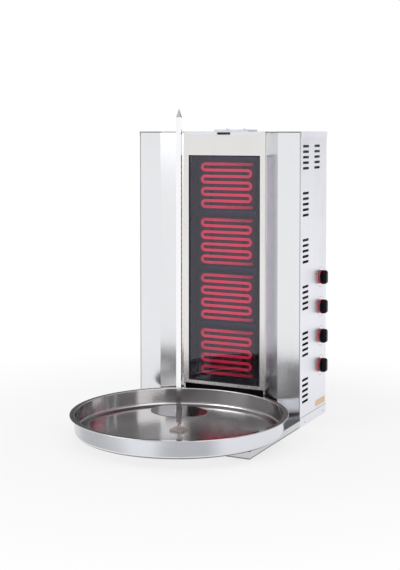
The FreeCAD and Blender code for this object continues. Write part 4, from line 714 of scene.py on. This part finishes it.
class GRILL_OT_knobs(bpy.types.Operator):
    """Make the black grips and their red skirts"""

    bl_idname = "grill.knobs"
    bl_label = "Knobs"

    def execute(self, context):
        sizes = context.scene.grill_sizes
        for number in range(1, 5):
            body = f"knob_body_{number}"
            low, high = span(f"knob_{number}")
            middle = (low.y + high.y) / 2
            half = sizes.grip_thick / 2
            mesh = bmesh.new()
            block(mesh, (low.x, middle - half, low.z), (high.x, middle + half, high.z))
            corners = [edge for edge in mesh.edges
                       if all(end.co.x > high.x - 1e-6 for end in edge.verts)
                       and abs(edge.verts[0].co.y - edge.verts[1].co.y) > 1e-3]
            soften(mesh, corners, sizes.grip_corner, 10)
            flanks = [edge for edge in mesh.edges
                      if abs(edge.verts[0].co.y - edge.verts[1].co.y) < 1e-6
                      and not all(end.co.x < low.x + 1e-6 for end in edge.verts)]
            soften(mesh, flanks, sizes.grip_edge, 5)
            radius = (high.y - low.y) / 2
            profile = [(0, 0), (radius, 0), (radius, sizes.grip_base), (0, sizes.grip_base)]
            lathe(mesh, profile, Matrix.Translation((low.x, middle, (low.z + high.z) / 2)) @ TURN_TO_X,
                  rounds=[(1, 0.3 * MM, 2), (2, 1 * MM, 4)])
            finish_piece(f"grip_{number}", mesh, body, "knob_black", [f"knob_{number}"])
            low, high = span(f"knob_skirt_{number}")
            radius = (high.z - low.z) / 2
            thick = high.x - low.x
            mesh = bmesh.new()
            profile = [(sizes.skirt_hole, 0), (radius, 0), (radius, thick), (sizes.skirt_hole, thick)]
            lathe(mesh, profile, Matrix.Translation((low.x, middle, (low.z + high.z) / 2)) @ TURN_TO_X,
                  rounds=[(1, 0.3 * MM, 2), (2, sizes.skirt_bevel, 3)], closed=True)
            finish_piece(f"skirt_{number}", mesh, body, "skirt_red", [f"knob_skirt_{number}"])
        return {"FINISHED"}


class GRILL_OT_rings(bpy.types.Operator):
    """Print the pale ring round each knob"""

    bl_idname = "grill.rings"
    bl_label = "Printed Rings"

    def execute(self, context):
        sizes = context.scene.grill_sizes
        face = span("blank_label")[0].x - 0.1 * MM
        ink = 0.06 * MM
        for number in range(1, 5):
            low, high = span(f"knob_skirt_{number}")
            centre = (low + high) / 2
            mesh = bmesh.new()
            inner, outer = sizes.ring_radius - sizes.ring_width / 2, sizes.ring_radius + sizes.ring_width / 2
            profile = [(inner, 0), (outer, 0), (outer, ink), (inner, ink)]
            lathe(mesh, profile, Matrix.Translation((face, centre.y, centre.z)) @ TURN_TO_X, steps=128,
                  closed=True)
            finish_piece(f"ring_{number}", mesh, "root", "ring_print")
        return {"FINISHED"}


class GRILL_OT_elements(bpy.types.Operator):
    """Make the four glowing serpentine tubes"""

    bl_idname = "grill.elements"
    bl_label = "Heating Elements"

    def execute(self, context):
        sizes = context.scene.grill_sizes
        for number in range(1, 5):
            low, high = span(f"heating_element_{number}")
            radius = sizes.element_radius
            pitch = (high.z - low.z - 2 * radius) / (sizes.run_count - 1)
            turn = pitch / 2
            reach = sizes.element_run / 2
            plane = low.y + radius
            level = high.z - radius
            mesh = bmesh.new()
            matrix = Matrix.Translation((reach + turn, high.y, level)) @ Matrix.Rotation(math.pi / 2, 4, "X")
            start = bmesh.ops.create_circle(mesh, segments=20, radius=radius, matrix=matrix)["verts"]
            ring = [edge for edge in mesh.edges if edge.verts[0] in start]
            ring = self.straight(mesh, ring, (0, plane + turn - high.y, 0))
            ring = self.bend(mesh, ring, (reach, plane + turn, level), (0, 0, 1), -math.pi / 2, 8)
            for run in range(sizes.run_count):
                side = 1 if run % 2 == 0 else -1
                ring = self.straight(mesh, ring, (-side * 2 * reach, 0, 0))
                if run < sizes.run_count - 1:
                    centre = (-side * reach, plane, level - turn)
                    ring = self.bend(mesh, ring, centre, (0, 1, 0), -side * math.pi, 16)
                    level -= pitch
            ring = self.bend(mesh, ring, (reach, plane + turn, level), (0, 0, 1), math.pi / 2, 8)
            self.straight(mesh, ring, (0, high.y - plane - turn, 0))
            bmesh.ops.holes_fill(mesh, edges=[edge for edge in mesh.edges if edge.is_boundary], sides=0)
            bmesh.ops.recalc_face_normals(mesh, faces=mesh.faces[:])
            finish_piece(f"hot_tube_{number}", mesh, "root", "element_red", [f"heating_element_{number}"])
        return {"FINISHED"}

    def straight(self, mesh, ring, way):
        """Carries the ring of edges along a straight run, and gives the new ring."""
        made = bmesh.ops.extrude_edge_only(mesh, edges=ring)["geom"]
        verts = [item for item in made if isinstance(item, bmesh.types.BMVert)]
        bmesh.ops.translate(mesh, verts=verts, vec=way)
        return [item for item in made if isinstance(item, bmesh.types.BMEdge)
                and all(end in verts for end in item.verts)]

    def bend(self, mesh, ring, centre, axis, turned, steps):
        """Carries the ring of edges round a bend, and gives the new ring."""
        made = bmesh.ops.spin(mesh, geom=ring, cent=centre, axis=axis, angle=turned, steps=steps)["geom_last"]
        return [item for item in made if isinstance(item, bmesh.types.BMEdge)]


class GRILL_OT_fasteners(bpy.types.Operator):
    """Make the rivets and the screw heads that show"""

    bl_idname = "grill.fasteners"
    bl_label = "Rivets and Screws"

    def execute(self, context):
        low, high = span("panel_rivets")
        radius = 3 * MM
        mesh = bmesh.new()
        for side in (-1, 1):
            for depth in (low.y + radius, high.y - radius):
                turned = Matrix.Translation((side * (high.x - 1.5 * MM), depth, (low.z + high.z) / 2))
                self.dome(mesh, turned @ Matrix.Rotation(side * math.pi / 2, 4, "Y"), radius, 1.5 * MM)
        finish_piece("rivet_heads", mesh, "root", "fastener_steel", ["panel_rivets"])
        low, high = span("top_plate_screws")
        radius = 4.5 * MM
        mesh = bmesh.new()
        for across in (low.x + radius, high.x - radius):
            place = Matrix.Translation((across, (low.y + high.y) / 2, high.z - 2 * MM))
            self.cross_head(mesh, place, radius, 2 * MM)
        finish_piece("cap_screw_heads", mesh, "root", "fastener_steel", ["top_plate_screws"])
        low, high = span("back_panel_screws")
        mesh = bmesh.new()
        for across in (low.x + radius, high.x - radius):
            for level in (low.z + radius, (low.z + high.z) / 2, high.z - radius):
                place = Matrix.Translation((across, high.y - 2 * MM, level)) @ TURN_TO_Y
                self.cross_head(mesh, place, radius, 2 * MM)
        finish_piece("back_screw_heads", mesh, "root", "fastener_steel", ["back_panel_screws"])
        return {"FINISHED"}

    def dome(self, mesh, matrix, radius, height):
        """A low domed head."""
        profile = [(0, 0), (radius, 0), (radius * 0.96, height * 0.32), (radius * 0.78, height * 0.68),
                   (radius * 0.45, height * 0.92), (0, height)]
        lathe(mesh, profile, matrix, steps=32)

    def cross_head(self, mesh, matrix, radius, height):
        """A pan head with a sunk drive in its middle."""
        profile = [(0, 0), (radius, 0), (radius, height), (radius * 0.46, height), (radius * 0.30, height * 0.35),
                   (0, height * 0.25)]
        lathe(mesh, profile, matrix, steps=32, rounds=[(2, height * 0.55, 4)])


class GRILL_OT_gland(bpy.types.Operator):
    """Make the cable gland on the back panel"""

    bl_idname = "grill.gland"
    bl_label = "Cable Gland"

    def execute(self, context):
        low, high = span("cable_gland")
        centre = (low + high) / 2
        seat = span("back_panel")[1].y + 0.1 * MM
        place = Matrix.Translation((centre.x, seat, centre.z)) @ TURN_TO_Y
        reach = high.y - seat
        bore = 5.5 * MM
        mesh = bmesh.new()
        lathe(mesh, [(bore, 0), (13.6 * MM, 0), (13.6 * MM, 8 * MM), (bore, 8 * MM)], place, steps=6, closed=True,
              rounds=[(1, 0.7 * MM, 2), (2, 1.2 * MM, 3)])
        lathe(mesh, [(bore, 7 * MM), (10.4 * MM, 7 * MM), (10.4 * MM, reach * 0.72), (8 * MM, reach),
                     (bore, reach)], place, steps=64, closed=True, rounds=[(2, 2 * MM, 5), (3, 0.8 * MM, 3)])
        for turn in range(12):
            rib = block(mesh, (9.6 * MM, -0.6 * MM, 8 * MM), (10.7 * MM, 0.6 * MM, reach * 0.66))
            matrix = place @ Matrix.Rotation(turn * math.pi / 6, 4, "Z")
            bmesh.ops.transform(mesh, matrix=matrix, verts=rib)
        inside = Matrix.Translation((centre.x, low.y, centre.z)) @ TURN_TO_Y
        lathe(mesh, [(bore, 0), (10 * MM, 0), (10 * MM, seat - low.y + 1 * MM), (bore, seat - low.y + 1 * MM)],
              inside, steps=48, closed=True)
        finish_piece("gland_nose", mesh, "root", "gland_black", ["cable_gland"])
        return {"FINISHED"}


class GRILL_OT_studio(bpy.types.Operator):
    """Set the studio: floor, light and camera"""

    bl_idname = "grill.studio"
    bl_label = "Studio"

    def execute(self, context):
        scene = context.scene
        studio = scene.grill_studio
        scene.view_settings.view_transform = "Standard"
        self.light_world(scene, studio)
        self.lay_floor(scene, studio)
        self.hang_lamp(scene, "key_lamp", (-2.2, -2.6, 3.0), 2.6, studio.key_power)
        self.hang_lamp(scene, "fill_lamp", (2.8, -1.6, 1.8), 2.2, studio.fill_power)
        camera = bpy.data.cameras.new("view_camera")
        camera.sensor_fit = "VERTICAL"
        camera.sensor_height = 36
        camera.lens = studio.lens
        camera.shift_y = studio.rise
        camera.clip_end = 100
        holder = bpy.data.objects.new("view_camera", camera)
        holder.location = studio.view_place
        holder.rotation_euler = (studio.view_tilt, 0, studio.view_turn)
        scene.collection.objects.link(holder)
        scene.camera = holder
        return {"FINISHED"}

    def light_world(self, scene, studio):
        """White surroundings in front of the grill, and a darker room behind it in the metal."""
        world = bpy.data.worlds.new("studio_world")
        world.use_nodes = True
        scene.world = world
        graph = Graph(world.node_tree)
        paths = graph.node("ShaderNodeLightPath")
        way = graph.node("ShaderNodeTexCoord", output="Generated")
        x = graph.node("ShaderNodeSeparateXYZ", None, {0: way})
        back = graph.ease(x.output("Y") + x * 0.25, -0.25, 0.20)
        rise = x.output("Z")
        above = graph.ease(rise, 0.01, 0.13) * back + graph.ease(rise, 0.06, 0.15) * (1 - back)
        overhead = graph.ease(rise, 0.30, 0.60)
        room = 1 - above * (1 - studio.room) * (1 - overhead * 0.65)
        seen = paths.output("Is Camera Ray")
        mirrored = graph.ease(paths.output("Is Glossy Ray") + paths.output("Is Transmission Ray"), 0, 1)
        strength = seen + (1 - seen) * (mirrored * room + (1 - mirrored) * studio.ambient)
        sky = graph.node("ShaderNodeBackground", None, {"Color": (1, 1, 1), "Strength": strength})
        graph.node("ShaderNodeOutputWorld", None, {"Surface": sky})

    def lay_floor(self, scene, studio):
        """A wide pale floor that keeps the grill's shadow near it and is paper white further out."""
        material, graph = new_material("studio_floor")
        x, y, z = graph.axes()
        far = graph.ease((x * x + y * y) ** 0.5, 0.5, 1.3)
        grain = graph.noise(graph.place((30, 30, 30)), detail=3.0)
        base = graph.blend(grain, shade(studio.floor, 0.995), shade(studio.floor, 1.005))
        paper = graph.node("ShaderNodeBsdfDiffuse", None, {"Color": base})
        paths = graph.node("ShaderNodeLightPath")
        seen = graph.ease(paths.output("Is Camera Ray") + paths.output("Is Glossy Ray")
                          + paths.output("Is Transmission Ray"), 0, 1)
        white = graph.node("ShaderNodeEmission", None, {"Color": (1, 1, 1), "Strength": 1.0})
        mixed = graph.node("ShaderNodeMixShader", None, {0: seen * (0.72 + far * 0.28), 1: paper, 2: white})
        graph.node("ShaderNodeOutputMaterial", None, {"Surface": mixed})
        mesh = bmesh.new()
        bmesh.ops.create_circle(mesh, cap_ends=True, segments=96, radius=30)
        data = bpy.data.meshes.new("studio_floor")
        mesh.to_mesh(data)
        mesh.free()
        data.materials.append(material)
        floor = bpy.data.objects.new("studio_floor", data)
        scene.collection.objects.link(floor)

    def hang_lamp(self, scene, name, place, size, power):
        """One square soft light that faces the grill."""
        lamp = bpy.data.lights.new(name, "AREA")
        lamp.shape = "SQUARE"
        lamp.size = size
        lamp.energy = power
        holder = bpy.data.objects.new(name, lamp)
        holder.location = place
        holder.rotation_euler = (Vector((0, 0.1, 0.45)) - Vector(place)).to_track_quat("-Z", "Y").to_euler()
        scene.collection.objects.link(holder)


OPERATORS = (
    GRILL_OT_finishes,
    GRILL_OT_pan,
    GRILL_OT_disc,
    GRILL_OT_spit,
    GRILL_OT_knobs,
    GRILL_OT_rings,
    GRILL_OT_elements,
    GRILL_OT_fasteners,
    GRILL_OT_gland,
    GRILL_OT_studio,
)


class GRILL_PT_panel(bpy.types.Panel):
    """The grill's settings and its pieces"""

    bl_idname = "GRILL_PT_panel"
    bl_label = "Kebab Grill"
    bl_space_type = "VIEW_3D"
    bl_region_type = "UI"
    bl_category = "Grill"

    def draw(self, context):
        for operator in OPERATORS:
            self.layout.operator(operator.bl_idname)
        for group in (context.scene.grill_sizes, context.scene.grill_colours, context.scene.grill_studio):
            box = self.layout.box()
            for name in group.__annotations__:
                box.prop(group, name)


CLASSES = (GrillSizes, GrillColours, GrillStudio) + OPERATORS + (GRILL_PT_panel,)


def register():
    """Register the classes and hang the settings on the scene."""
    for item in CLASSES:
        bpy.utils.register_class(item)
    bpy.types.Scene.grill_sizes = PointerProperty(type=GrillSizes)
    bpy.types.Scene.grill_colours = PointerProperty(type=GrillColours)
    bpy.types.Scene.grill_studio = PointerProperty(type=GrillStudio)


def unregister():
    """Take the settings off the scene and unregister the classes."""
    del bpy.types.Scene.grill_studio
    del bpy.types.Scene.grill_colours
    del bpy.types.Scene.grill_sizes
    for item in reversed(CLASSES):
        bpy.utils.unregister_class(item)


def main():
    """Register the classes and build every piece in order."""
    register()
    for operator in OPERATORS:
        group, name = operator.bl_idname.split(".")
        getattr(getattr(bpy.ops, group), name)()


if __name__ == "__main__":
    main()
